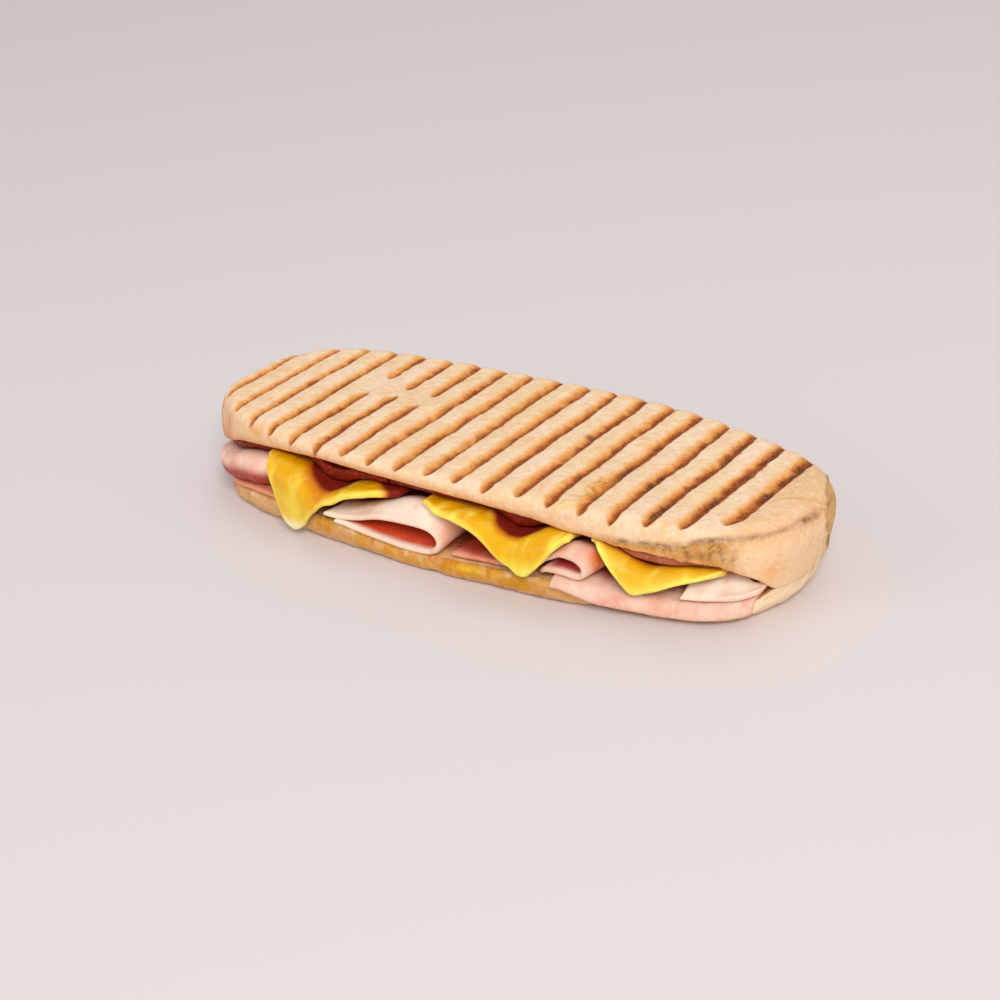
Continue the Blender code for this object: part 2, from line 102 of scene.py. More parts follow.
# Mesh steps, with the turns of the loaf's end rows in degrees
STATION_STEP = 0.6
END_TURNS = (0.0, 1.2, 2.4, 3.6, 4.8, 6.0)
SECTION = {"top": 148, "back": 8, "under": 56, "face": 9, "floor": 28, "roof": 28, "lip": 7}
TOP_EDGE = (7.0, 18)
UNDER_EDGE = (5.0, 9)
SLICE_STEP = 0.8
RIM_ROWS = (0.0, 0.06, 0.2, 0.45, 0.8, 1.2)
SOFTENING = 5

# The looks stay inside the box of the solids
END_SHRINK = np.array([0.9945, 1.0, 1.0])
BOX = (np.array([-125.28, -49.38, 0.0]), np.array([118.92, HALF_WIDTH, HEIGHT]))


def cubic(values, tangents, k, width, t):
    """Values at the shares t of the steps k, on the smooth curve with these tangents."""
    return (values[k] * (1 + 2 * t) * (1 - t) ** 2 + values[k + 1] * t * t * (3 - 2 * t)
            + width * (tangents[k] * t * (1 - t) ** 2 - tangents[k + 1] * t * t * (1 - t)))


def steps_of(places, targets):
    """Number of the step between places in which each target lies."""
    return held(np.searchsorted(places, targets, side="right") - 1, len(places) - 2)


def smooth_curve(*points):
    """A smooth curve through (place, value) points, level beyond the first and the last."""
    places, values = np.array(points, dtype=float).T
    steps = np.diff(places)
    slopes = np.diff(values) / steps
    before, after = slopes[:-1], slopes[1:]
    same_way = before * after > 0
    total = np.where(same_way, before + after, 1.0)
    tangents = np.zeros(len(places))
    tangents[1:-1] = np.where(same_way, 2 * before * after / total, 0.0)

    def value(place):
        place = np.clip(place, places[0], places[-1])
        k = steps_of(places, place)
        return cubic(values, tangents, k, steps[k], (place - places[k]) / steps[k])

    return value


def held(value, most=1):
    return np.clip(value, 0, most)


def ease(start, end, place):
    """Rises smoothly from 0 at start to 1 at end."""
    t = held((place - start) / (end - start))
    return t * t * (3 - 2 * t)


def fade(start, end, place):
    """Falls smoothly from 1 at start to 0 at end."""
    return 1 - ease(start, end, place)


def mix(a, b, share):
    return a + (b - a) * share


def hump(place, middle, width):
    """1 at middle, falling to 0 a few widths away."""
    return np.exp(-((place - middle) / width) ** 2)


def rolled(depth, power):
    """Rises from 0 at depth 0 to 1 at depth 1 as a rounded edge does."""
    t = held(depth)
    return (1 - (1 - t) ** power) ** (1 / power)


# A turn that keeps the cells of the noise off the axes
TURN = np.array([[0.36, 0.48, -0.8], [-0.8, 0.6, 0.0], [0.48, 0.64, 0.6]])


def scattered(cell, seed):
    """A repeatable number from -1 to 1 for each cell of whole numbers."""
    n = cell[..., 0] * 73856093 ^ cell[..., 1] * 19349663 ^ cell[..., 2] * 83492791 ^ seed * 7919
    n = (n & 0x7FFFFFFF) * 48271 % 2147483647
    n = (n ^ (n >> 11)) * 69621 % 2147483647
    return (n ^ (n >> 7)) % 65536 / 32767.5 - 1.0


def noise(points, size, seed, octaves=1):
    """Smooth repeatable noise from about -1 to 1, with features of about the size given."""
    points = np.asarray(points, dtype=float) / size + seed * 17.31
    total, weight, whole = 0.0, 1.0, 0.0
    for _ in range(octaves):
        points = points @ TURN.T
        cell = np.floor(points)
        t = points - cell
        t = t * t * (3 - 2 * t)
        cell = cell.astype(np.int64)
        value = 0.0
        for corner in range(8):
            step = np.array([corner & 1, corner >> 1 & 1, corner >> 2 & 1])
            share = np.prod(np.where(step, t, 1 - t), axis=-1)
            value = value + share * scattered(cell + step, seed)
        total, whole = total + weight * value, whole + weight
        weight *= 0.5
        points = points * 2.03 + 5.7
    return 1.5 * total / whole


# Heights and setbacks along the loaf, as (x, value)
lip_height = smooth_curve(
    (-125, 14.6), (-112, 18.0), (-98, 22.4), (-82, 25.4), (-70, 26.9), (-50, 28.0), (-30, 27.8),
    (0, 27.2), (20, 26.6), (32, 25.8), (46, 24.8), (60, 24.5), (70, 24.0), (82, 23.0), (92, 22.2),
    (99, 21.2), (108, 16.9), (112, 14.0), (114, 11.6), (115.8, 10.0), (120, 9.9))
roof_height = smooth_curve(
    (-125, 14.6), (-112, 18.0), (-98, 22.4), (-82, 24.8), (-70, 25.4), (-50, 26.4), (58, 26.4),
    (70, 25.2), (82, 23.7), (98, 21.0), (108, 16.6), (112, 13.8), (114, 11.6), (115.8, 10.0),
    (120, 9.9))
sole_rim = smooth_curve(
    (-125, 4.6), (-112, 4.9), (-104, 5.5), (-96, 6.6), (-88, 8.0), (-75, 8.8), (-60, 9.0),
    (-45, 9.0), (-30, 7.4), (-12, 5.8), (5, 6.2), (20, 7.2), (48, 8.0), (66, 6.4), (95, 5.4),
    (105, 5.8), (111, 6.8), (113.4, 8.2), (115.4, 9.5), (120, 9.6))
top_setback = smooth_curve((30, 5.2), (70, 2.4), (95, -0.4))
sole_setback = smooth_curve((45, 0.0), (68, 2.4), (98, 2.4), (114, 0.0))
cut_end = smooth_curve((50, 36), (76, 24), (90, 8), (101, -12), (109, -18), (115, -15))
right_tuck = smooth_curve((0, 6.0), (6, 5.4), (12, 3.5), (18, 2.0), (27, 0.0))
left_tuck = smooth_curve((0, 6.0), (8, 4.0), (15, 1.2), (21, 0.0))


def half_length(x):
    return np.where(x < 0, LEFT_LENGTH, RIGHT_LENGTH)


def end_shape(x, side):
    return np.where(x < 0, *END_SHAPE[side])


def half_width(x, side, width):
    exponent = end_shape(x, side)
    share = np.clip(1 - np.abs(x / half_length(x)) ** exponent, 1e-9, 1.0)
    return width * share ** (1 / exponent)


def back_line(x):
    return half_width(x, "back", HALF_WIDTH)


def top_front_line(x):
    return -half_width(x, "front", HALF_WIDTH - top_setback(x))


def sole_front_line(x):
    return -half_width(x, "front", HALF_WIDTH - sole_setback(x))


def hinge_line(x):
    front = top_front_line(x)
    shallow = front + np.minimum(3.0, 0.25 * (back_line(x) - front))
    return np.minimum(WALL_SHARE * back_line(x), np.maximum(cut_end(x), shallow))


def inset(x, y, front_width):
    """How far inside the plan outline a point lies, measured on like outlines nested in it."""
    front = y < 0
    exponent = np.where(front, end_shape(x, "front"), end_shape(x, "back"))
    width = np.where(front, front_width, HALF_WIDTH)
    low = np.zeros_like(x + y)
    high = width - 0.01 + low
    for _ in range(22):
        middle = (low + high) / 2
        reach = ((np.abs(x) / (half_length(x) - middle)) ** exponent
                 + (np.abs(y) / (width - middle)) ** exponent)
        low = np.where(reach < 1, middle, low)
        high = np.where(reach < 1, high, middle)
    return low


def edge_heights(x, y):
    """Heights at which the upper and the lower half turn into the side wall."""
    right = ease(70, 116, x)
    closing = mix(ease(8, 24, y), ease(-8, 14, y), ease(-40, 60, x))
    return (mix(lip_height(x) + LIP_FACE, mix(BACK_EDGE_TOP, RIGHT_EDGE_TOP, right), closing),
            mix(sole_rim(x) - SOLE_FACE, mix(BACK_EDGE_BOTTOM, RIGHT_EDGE_BOTTOM, right), closing))


def slenderness(x):
    """Share of the full rounding of both rims, next to none where the halves close at the right."""
    return (np.minimum(1.0, (back_line(x) - top_front_line(x)) / 14.0)
            * (1 - 0.85 * ease(111.5, 115.5, x)))


def rim_line(x):
    return sole_front_line(x) + RIM_STEP * slenderness(x)


def lip_line(x):
    return top_front_line(x) + LIP_STEP * slenderness(x)


def within_mouth(most, x):
    """A length that gets shorter where the mouth is shallow."""
    return np.minimum(most, 0.3 * (hinge_line(x) - lip_line(x)))


def toward_hinge(height, x, y):
    t = held((y - hinge_line(x)) / within_mouth(HINGE_ROUND, x) + 1)
    middle = (lip_height(x) + sole_rim(x)) / 2
    return height + (middle - height) * (1 - np.sqrt(1 - t * t))


def mouth_floor(x, y):
    deep = 9.2 - 3.0 * ease(80, 112, x) - 3.4 * ease(82, 112, -x)
    deep = np.maximum(sole_rim(x) + 0.4, deep)
    share = held((y - rim_line(x)) / within_mouth(RAMP, x))
    return toward_hinge(mix(sole_rim(x), deep, share), x, y)


def mouth_ceiling(x, y):
    share = held((y - lip_line(x)) / within_mouth(LIP_CURL, x))
    return toward_hinge(mix(lip_height(x), roof_height(x), share), x, y)


def deepest(x, clearance=3.0):
    """How far back a slice may reach."""
    return hinge_line(x) - within_mouth(HINGE_ROUND, x) - clearance


def tucked(points):
    """Draws the lower part of both ends in under the upper half."""
    points = np.array(points, dtype=float)
    x, z = points[..., 0], points[..., 2]
    points[..., 0] = (x - right_tuck(z) * ease(92, 117, x)
                      + left_tuck(z) * ease(95, 122, -x))
    return points


def shares(steps):
    return np.linspace(0, 1, steps)[None, :]


def at(x, y, z=0.0):
    """Points from coordinates that may be numbers, rows, columns or whole grids."""
    return np.stack(np.broadcast_arrays(x, y, z + 0.0 * (x + y)), axis=-1)


# Marks on the crust
mark_strength = smooth_curve(
    (-112, 0.55), (-60, 0.62), (0, 0.62), (40, 0.72), (68, 0.9), (92, 1.05), (103, 1.2))
mark_width = smooth_curve((-112, 0.72), (-70, 0.9), (-30, 1.0), (60, 1.0), (103, 1.1))


def mark_distance(x, y):
    """How far right of the nearest mark's middle a point is, on slightly wavering marks."""
    place = at(x, y)
    waver = 0.45 * noise(place, 21, 3) + 0.22 * noise(place, 6.5, 4) + 0.17 * noise(place, 2.6, 5)
    waver = waver + 0.4 * ease(30, 90, -x)
    place = (x + waver) / MARK_PITCH + MARK_MIDDLE + 0.5
    number = np.floor(place)
    return (place - number - 0.5) * MARK_PITCH, number


def mark_press(x, y, depth, distance, number):
    """How hard a mark is pressed in at a point, from 0 to 1."""
    row = np.stack([number, 0 * number, 0 * number], axis=-1).astype(np.int64)
    front = 1.0 + 0.6 * scattered(row, 11) + 2.0 * ease(62, 92, x) + 1.8 * ease(94, 104, x)
    front = front - 1.3 * ease(10, 60, -x) + 3.0 * ease(86, 104, -x)
    back = 1.2 + 1.0 * scattered(row, 12)
    start = np.where(y < 0, front, back) + 0.32 * (distance + 0.5) ** 2
    press = ease(start, start + 1.4, depth)
    press = press * (number >= 1) * (number <= MARK_COUNT)
    for which, (low, high) in MARK_GAPS.items():
        edge = 0.8 * np.abs(distance)
        gap = ease(low - 1.2 - edge, low + 1.2 - edge, y)
        gap = gap * fade(high - 1.2 + edge, high + 1.2 + edge, y)
        press = press * (1 - gap * (number == which))
    return press


def groove(distance, wide=1.0):
    """Depth share across a mark: a gentle slope on its left side and a steep one on its right."""
    left = fade(0.2, 3.0, -distance / wide)
    right = fade(0.9, 1.9, distance / wide)
    return np.where(distance < 0, left, right)


def top_height(x, y):
    """Height of the pressed crust, and what its colour needs to know."""
    depth = inset(x, y, HALF_WIDTH - top_setback(x))
    edge = edge_heights(x, y)[0]
    roll = mix(6.0, 9.0, ease(-15, 15, y)) + 2.0 * ease(90, 116, np.abs(x))
    height = edge + (HEIGHT - RIDGE_RISE - edge) * rolled(depth / roll, 2.3 + 0.9 * ease(80, 108, x))
    distance, number = mark_distance(x, y)
    press = mark_press(x, y, depth, distance, number)
    cut = groove(distance, mark_width(x)) * press
    place = at(x, y)
    level = ease(1.0, 4.5, depth)
    wave = np.cos(distance / MARK_PITCH * math.pi * 2 + math.pi)
    height = height + level * (0.30 * (1 - cut) - 0.1) * wave
    height = height - MARK_DEPTH * cut * (0.82 + 0.2 * noise(place, 7, 6) + 0.2 * noise(place, 2.5, 7))
    height = height + level * (0.13 * noise(place, 9, 8) + 0.07 * noise(place, 3.0, 9, 2))
    return height - CRUST_DROP, distance, press


def under_height(x, y):
    """Height of the underside, and how deep in a mark each point lies, from 0 to 1."""
    depth = inset(x, y, HALF_WIDTH - sole_setback(x))
    edge = edge_heights(x, y)[1]
    roll = mix(5.0, 9.0, ease(-15, 15, y)) + 5.0 * ease(90, 116, x)
    height = edge * (1 - rolled(depth / roll, 2.2))
    distance, number = mark_distance(x, -y)
    inside = (number >= 1) * (number <= MARK_COUNT)
    cut = groove(distance) * inside * ease(roll, roll + 3.0, depth)
    return height + UNDER_MARK_DEPTH * cut, cut


def stations():
    """Places along the loaf of its sections, closest at both rounded ends."""
    turn = np.radians(np.array(END_TURNS))
    left = END_CAP - LEFT_LENGTH + LEFT_LENGTH * (1 - np.cos(turn))
    right = RIGHT_LENGTH - END_CAP - RIGHT_LENGTH * (1 - np.cos(turn))
    middle = np.arange(left[-1] + STATION_STEP, right[-1], STATION_STEP)
    return np.concatenate([left, middle, right[::-1]])


def edged(start, end, steps, edge, edge_steps):
    """Places from start to end, drawn together where the surface turns down at both."""
    near = shares(edge_steps) ** 2.3
    width = np.minimum(edge, 0.3 * np.abs(end - start)) * np.sign(end - start)
    middle = np.linspace(0, 1, steps - 2 * edge_steps + 2)[None, 1:-1]
    return np.concatenate([start + width * near, start + width + (end - start - 2 * width) * middle,
                           end - width * near[:, ::-1]], axis=1)


def colour(r, g, b):
    """Linear colour from the 0 to 255 values of a screen colour."""
    value = np.array([r, g, b]) / 255.0
    return np.where(value <= 0.04045, value / 12.92, ((value + 0.055) / 1.055) ** 2.4)


def layered(base, *layers):
    """The base colour under layers of (colour, share), the last one on top.

    A third value in a layer is the most that its share may be, and the least is 0 then.
    """
    for other, share, *most in layers:
        if most:
            share = held(share, most[0])
        base = base + (other - base) * share[..., None]
    return base


# Colours
RIDGE = colour(246, 216, 178)
RIDGE_PINK = colour(250, 220, 198)
RIDGE_STRAW = colour(240, 204, 152)
RIDGE_PALE = colour(253, 228, 198)
RIDGE_BLUSH = colour(240, 192, 164)
FRINGE = colour(244, 174, 98)
BROWNED = colour(198, 104, 26)
CHARRED = colour(148, 54, 0)
RUST = colour(184, 74, 18)
TOAST_GOLD = colour(230, 162, 66)
BLACKENED = colour(92, 22, 0)
LIP_TAN = colour(226, 170, 118)
LIP_EDGE = colour(253, 178, 106)
OLIVE = colour(204, 156, 84)
TORN_CRUMB = colour(206, 154, 80)
WALL_PEACH = colour(248, 208, 164)
WALL_LEFT = colour(226, 172, 136)
SOLE_TAN = colour(222, 174, 124)
SOLE_GOLD = colour(206, 140, 0)
SOLE_YELLOW = colour(240, 194, 40)
SOLE_BOTTOM = colour(236, 198, 160)
# Painted light: near white for the downward bevel under the right end
SOLE_END_LIT = colour(252, 226, 192)
CRUMB = colour(232, 190, 140)
RED_SHADE = colour(160, 44, 14)
# Painted shade of creases and cracks
CREASE_SHADE = colour(130, 76, 36)

# Height of the crease under the pressed cap at the right end, as (x, z)
cap_crease = smooth_curve(
    (72, 26.6), (77, 27.2), (85, 27.6), (94, 29.6), (100, 30.1), (110, 29.9), (116, 30.1),
    (118, 29.3))

# Draws the cracks of the torn lip out along the loaf
TORN_STRETCH = np.array([0.45, 1.0, 1.0])


def lines(points, size, seed, width=0.12):
    """Wandering thin lines, 1 on a line."""
    return 1 - ease(0.0, width, np.abs(noise(points, size, seed)))


def places_on_crust(points):
    """Shares of the crust's special places and fine lines at every point of the skin."""
    x, y, z = np.moveaxis(tucked(points), -1, 0)
    lip = lip_height(points[..., 0])
    right = ease(60, 72, x) * fade(2, 9, y)
    line = (y - 13.7) + 2.02 * (x - 110.3) - 1.6
    behind_line = ease(100, 106, x) * (z > 9) * (y > -9) * fade(31.5, 33.2, z)
    return SimpleNamespace(
        crease=right * hump(z, cap_crease(x), 0.75),
        torn=ease(54, 64, x) * fade(99, 108, x) * fade(-24, -16, y)
             * ease(lip - 1.2, lip - 0.2, z) * fade(-1.2, -0.2, z - cap_crease(x)),
        wall=ease(97, 107, x) * fade(-0.4, 0.6, z - cap_crease(x)),
        shaded_lobe=behind_line * ease(-0.4, 1.2, line),
        lobe_edge=behind_line * hump(line, 0.0, 1.0),
        facet=ease(104, 108, x) * hump(y + 8.0 - 0.7 * (x - 108), 0.0, 1.1) * (z > 28),
        flake=hump(y, -22.5, 7.0) * hump(x, 50.4, 2.3) * (z > 30),
        spot=held(1.6 * np.exp(-((x - 28.0) ** 2 + (y - 6.3) ** 2) / 1.6)) * (z > 30),
        golden=hump(x, -87, 5.0) * hump(z, 29.5, 1.8) * (y < 0),
        left=ease(96, 112, -x) * fade(28.5, 31.5, z),
        crack=lines(points * TORN_STRETCH, 1.7, 28, 0.42),
        wrinkle=lines(points, 7.0, 29, 0.2),
        orange=np.exp(-((x - 111.5) ** 2 + (y + 23.5) ** 2 + (z - 17.5) ** 2) / 16.0))


def crust_colour(points, fields, spots):
    """Colour of the loaf at every point, how charred and browned it is, and how oily."""
    x, y, z = np.moveaxis(points, -1, 0)
    patch = noise(points, 11, 21, 2)
    fleck = noise(points, 2.2, 22, 2)
    small = noise(points, 1.3, 26, 2)
    grain = noise(points, 1.7, 32, 2)
    front = y < 0
    base = layered(
        RIDGE,
        (RIDGE_PINK, 0.5 + 0.5 * patch, 1),
        (RIDGE_STRAW, 0.3 - 0.5 * noise(points, 14, 23) + 0.3 * fleck, 1),
        (RIDGE_PALE, 0.7 * grain, 0.8),
        (RIDGE_STRAW, -0.65 * grain, 0.8),
        (FRINGE, 0.8 * noise(points, 5, 33, 3) - 0.25, 0.4),
        (RIDGE_BLUSH, 0.8 * noise(points, 2.6, 37, 3) - 0.1, 0.6))

    # Side walls get darker and more golden lower down
    rim, lip = sole_rim(x), lip_height(x)
    rear = ease(0, 20, y)
    low = edge_heights(x, y)[0] + 2.5 + 3.0 * rear * patch - z
    low = held(low / mix(4.0, 10.0, rear))
    under = ease(mix(15, 19, rear), mix(11, 7, rear), z + 2.0 * rear * patch) * fade(100, 110, x)
    gold = ease(-78, -50, x) * fade(44, 60, x) * under * front
    oil = gold * (0.7 + 0.45 * hump(x, 12, 30) + 0.6 * noise(points, 6, 27, 3))
    oil = held(oil * ease(rim - 7.5, rim - 3.2, z + 0.8 * patch))
    bright = hump(x, 16, 11) * hump(z, rim - 1.5 + 0.8 * patch, 0.9) * (0.8 + 0.6 * fleck)
    crumbs = held(noise(points, 2.6, 34, 3))
    blotch = (1 - 0.75 * rear) * held(0.9 * noise(points, 3.0, 35, 3) - 0.1, 0.6)
    torn = spots.torn * held(0.85 + 0.4 * fleck)
    lip_glow = ease(40, 60, x) * fade(104, 110, x) * front * hump(z, lip, 1.1)
    dark_spots = held(0.35 + 0.8 * noise(points, 3.2, 30))
    base = layered(
        base,
        (LIP_TAN, 0.95 * ease(0, 1, low) + 0.3 * ease(1, 5, HEIGHT - z) * (1 - low)),
        # The lip's downward lower edge is painted bright orange: its toasted edge with a painted
        # reflected light
        (LIP_EDGE, 0.85 * ease(0.6, 1.0, low) * (0.8 + 0.5 * fleck) * front),
        (OLIVE, 0.2 * ease(-112, -100, x) * fade(-84, -72, x) * low),
        (SOLE_TAN, under),
        (OLIVE, 0.35 * under * ease(52, 70, -x) * (0.8 + 0.4 * fleck)),
        (SOLE_GOLD, oil),
        (SOLE_YELLOW, oil * bright, 0.9),
        (SOLE_BOTTOM, 0.6 * under * ease(3.0, 0.6, z) * front * (1 - 0.5 * oil)),
        (RIDGE_PALE, 0.7 * under * crumbs * hump(z, rim - 0.6, 1.3) * front),
        (BROWNED, under * blotch),
        (WALL_LEFT, 0.8 * spots.left),
        (BROWNED, spots.left * held(0.7 * noise(points, 6.0, 38, 2), 0.45)),
        (WALL_PEACH, 0.92 * spots.wall),
        (LIP_TAN, 0.45 * ease(98, 106, x) * ease(25, 28, z)),
        # Painted light on the bevel under the right end, which faces down
        (SOLE_END_LIT, 0.8 * ease(104, 110, x) * ease(14, 6, z) * (y < 20)),
        (FRINGE, 0.7 * spots.orange),
        (TORN_CRUMB, 1.1 * torn, 1),
        (FRINGE, 0.6 * lip_glow),
        # Painted shade: the olive lobe behind the right end is the shaded surface seen past the top
        # half's end
        (OLIVE, 0.85 * spots.shaded_lobe),
        # Painted shade in the cracks of the torn lip
        (CREASE_SHADE, 0.9 * torn * spots.crack),
        (BROWNED, torn * held(noise(points, 1.8, 39, 2), 0.6)),
        (LIP_EDGE, 0.75 * torn * hump(z, lip + 0.4, 0.9)),
        (BROWNED, 0.35 * spots.left * spots.wrinkle),
        # Painted shade along the crease under the right cap and along the lobe's edge, with darker
        # spots
        (CREASE_SHADE, spots.crease * (0.35 + 0.6 * dark_spots), 0.9),
        (CREASE_SHADE, spots.lobe_edge * (0.3 + 0.6 * dark_spots), 0.9),
        # Painted shade along a faint facet line on the right end
        (OLIVE, 0.35 * spots.facet),
        (TOAST_GOLD, 0.8 * spots.golden))

    # Browned marks, darkest at their right side, and browned strips of the underside
    distance, press, low_cut = fields["distance"], fields["press"], fields["low_cut"]
    blotch = mix(0.3, 0.5, ease(90, 100, x))
    level = mark_strength(x) * (1 + 0.2 * noise(points, 16, 24) + blotch * noise(points, 4, 25))
    d = distance / mark_width(x) + 0.36 * fleck + 0.25 * small
    right = fade(1.5, 2.1, d)
    glow = fade(1.6, 4.2, -d) * right * press
    band = fade(0.5, 2.6, -d) * right * press
    toast = noise(points, 2.4, 36, 3)
    line = np.where(d < -0.1, hump(d, -0.1, 0.75), 1.0) * right * press
    full = band * ease(0.8, 1.2, level)
    char = held(line * (0.38 + level) + 0.6 * full)
    black = held(0.9 * full + line - 0.8 + 0.35 * small) * ease(0.85, 1.15, level)
    flake = spots.flake
    base = layered(
        base,
        (FRINGE, glow, 1),
        (BROWNED, band * (0.35 + 0.8 * level), 1),
        (RUST, band * held(1.1 * toast - 0.1, 0.5)),
        (TOAST_GOLD, glow * held(-1.2 * toast - 0.1, 0.7)),
        (CHARRED, char),
        (BLACKENED, black),
        (BLACKENED, 0.85 * spots.spot),
        (TOAST_GOLD, 0.9 * flake),
        (BROWNED, 1.4 * flake * lines(points, 2.0, 31, 0.5), 0.9),
        (BROWNED, 0.75 * low_cut * (0.8 + 0.3 * patch)))
    brown = held(glow + flake + torn + low_cut + under)
    return base, char, brown, oil


def relief(points, inner, spots):
    """How far the loaf's skin stands out from its plain form."""
    x, z = points[..., 0], points[..., 2]
    wall = ease(4.5, 7.0, HEIGHT - z) * (1 - inner)
    torn = 0.5 * noise(points * TORN_STRETCH, 2.0, 45, 3) - 0.45 * spots.crack
    out = (wall * (0.25 * noise(points, 9, 41) + 0.10 * noise(points, 3, 42, 2) - 0.15)
           + inner * (0.35 * noise(points, 4, 43, 2) + 0.12 * noise(points, 1.4, 44))
           + spots.torn * torn
           - 0.55 * spots.crease - 0.6 * spots.lobe_edge + 0.25 * spots.shaded_lobe
           - 0.4 * spots.facet + 0.35 * spots.flake * noise(points, 1.5, 46, 2)
           - 0.2 * spots.left * spots.wrinkle
           + 0.3 * ease(10, 7, z) * wall * noise(points, 2.4, 47, 2)
           + 0.3 * spots.left * noise(points, 2.6, 48, 2))
    return out * fade(112, 119, -x)


def quarter_turn(steps):
    return np.linspace(0, math.pi / 2, steps)[None, 1:-1]


def loaf_grid():
    """Points of the skin, one row for each section round the loaf, and what its colour needs.

    A row runs back over the top, down the back, forward under the loaf, up the sole's front face,
    over the floor of the mouth to its hinge, forward along its roof and up round the lip.
    """
    x = stations()[:, None]
    lip, sole, back, hinge = top_front_line(x), sole_front_line(x), back_line(x), hinge_line(x)
    small = slenderness(x)
    over = edged(lip, back, SECTION["top"], *TOP_EDGE)
    height, distance, press = top_height(x, over)
    under = edged(back, sole, SECTION["under"], *UNDER_EDGE)
    low, low_cut = under_height(x, under)
    share = np.linspace(0, 1, SECTION["back"])[None, 1:-1]
    wall_z = mix(height[:, -1:], low[:, :1], share)
    turn = quarter_turn(SECTION["face"])
    face_y = sole + RIM_STEP * small * (1 - np.cos(turn)) ** 1.2
    face_z = sole_rim(x) - SOLE_FACE * (1 - np.sin(turn)) ** 1.1
    share = shares(SECTION["floor"])
    floor_y = rim_line(x) + (hinge - rim_line(x)) * share ** 1.4
    share = np.linspace(1, 0, SECTION["roof"])[None, 1:]
    roof_y = lip_line(x) + (hinge - lip_line(x)) * share ** 1.4
    turn = quarter_turn(SECTION["lip"])
    lip_y = lip + LIP_STEP * small * (1 - np.sin(turn)) ** 1.2
    lip_z = lip_height(x) + LIP_FACE * (1 - np.cos(turn))
    blocks = [(over, height), (back + 0 * wall_z, wall_z), (under, low), (face_y, face_z),
              (floor_y, mouth_floor(x, floor_y)), (roof_y, mouth_ceiling(x, roof_y)),
              (lip_y, lip_z)]
    y, z = (np.concatenate(parts, axis=1) for parts in zip(*blocks))

    # Each field has its values in the columns from its first block up to its last
    start = np.cumsum([0] + [block[0].shape[1] for block in blocks])
    fields = {}
    for name, first, last, value in (("distance", 0, 1, distance), ("press", 0, 1, press),
                                     ("low_cut", 2, 3, low_cut), ("inner", 4, 6, 1.0)):
        fields[name] = np.zeros_like(y)
        fields[name][:, start[first]:start[last]] = value
    return at(x, y, z), fields


def unit(vectors):
    return vectors / np.maximum(np.linalg.norm(vectors, axis=-1, keepdims=True), 1e-9)


def new_object(name, data):
    item = bpy.data.objects.new(name, data)
    bpy.context.scene.collection.objects.link(item)
    return item


def add_mesh(name, points, faces, colours, masks, material):
    """A piece with a colour and masks at every point; faces is a list of index arrays."""
    mesh = bpy.data.meshes.new(name)
    points = np.clip(tucked(points.reshape(-1, 3)) * END_SHRINK, *BOX)
    corners = np.concatenate([block.ravel() for block in faces])
    counts = np.concatenate([np.full(len(block), block.shape[1]) for block in faces])
    mesh.vertices.add(len(points))
    mesh.vertices.foreach_set("co", (points * MM).ravel())
    mesh.loops.add(len(corners))
    mesh.loops.foreach_set("vertex_index", corners)
    mesh.polygons.add(len(counts))
    mesh.polygons.foreach_set("loop_start", np.concatenate([[0], np.cumsum(counts)[:-1]]))
    mesh.polygons.foreach_set("loop_total", counts)
    mesh.update(calc_edges=True)
    mesh.validate()
    tint = mesh.color_attributes.new("Col", "FLOAT_COLOR", "POINT")
    colours = held(colours.reshape(-1, 3))
    tint.data.foreach_set("color", np.column_stack([colours, np.ones(len(points))]).ravel())
    for mask, values in masks.items():
        layer = mesh.attributes.new(mask, "FLOAT", "POINT")
        layer.data.foreach_set("value", held(values).astype(np.float32).ravel())
    mesh.materials.append(material)
    mesh.shade_smooth()
    item = new_object(name, mesh)
    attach(item, "root")
    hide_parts(name.replace("_look", ""))


def ring_faces(rows, columns):
    """Faces of a tube of rings, closed by one face at each end."""
    index = np.arange(rows * columns).reshape(rows, columns)
    a, b = index[:-1].ravel(), np.roll(index, -1, axis=1)[:-1].ravel()
    return [np.column_stack([a, a + columns, b + columns, b]), index[:1], index[-1:, ::-1]]


def add_bread(material):
    points, fields = loaf_grid()
    inner = fields["inner"]
    spots = places_on_crust(points)
    base, char, brown, oil = crust_colour(points, fields, spots)
    x, y, _ = np.moveaxis(points, -1, 0)
    behind = y - sole_front_line(x)
    end = ease(94, 102, x)
    red = ease(3, 9, behind) * (1 - end) * fade(114, 121, -x)
    crumb = layered(CRUMB, (RED_SHADE, 0.95 * red), (FRINGE, 0.8 * end * ease(0, 4, behind)))
    across = np.roll(points, -1, axis=1) - np.roll(points, 1, axis=1)
    normal = unit(np.cross(across, np.gradient(points, axis=0)))
    points = points + normal * relief(points, inner, spots)[..., None]
    add_mesh("bread_look", points, ring_faces(*inner.shape), layered(base, (crumb, inner)),
             {"char": char, "brown": brown, "oil": oil}, material)


# Slices of the filling
def hermite(points, places, targets):
    """Smooth rows through the rows of points at the places, at the target places."""
    steps = np.diff(places)[:, None, None]
    slopes = np.diff(points, axis=0) / steps
    tangents = np.empty_like(points)
    tangents[1:-1] = (slopes[:-1] * steps[1:] + slopes[1:] * steps[:-1]) / (steps[1:] + steps[:-1])
    tangents[0], tangents[-1] = slopes[0], slopes[-1]
    k = steps_of(places, targets)
    t = (targets - places[k])[:, None, None] / steps[k]
    return cubic(points, tangents, k, steps[k], t)


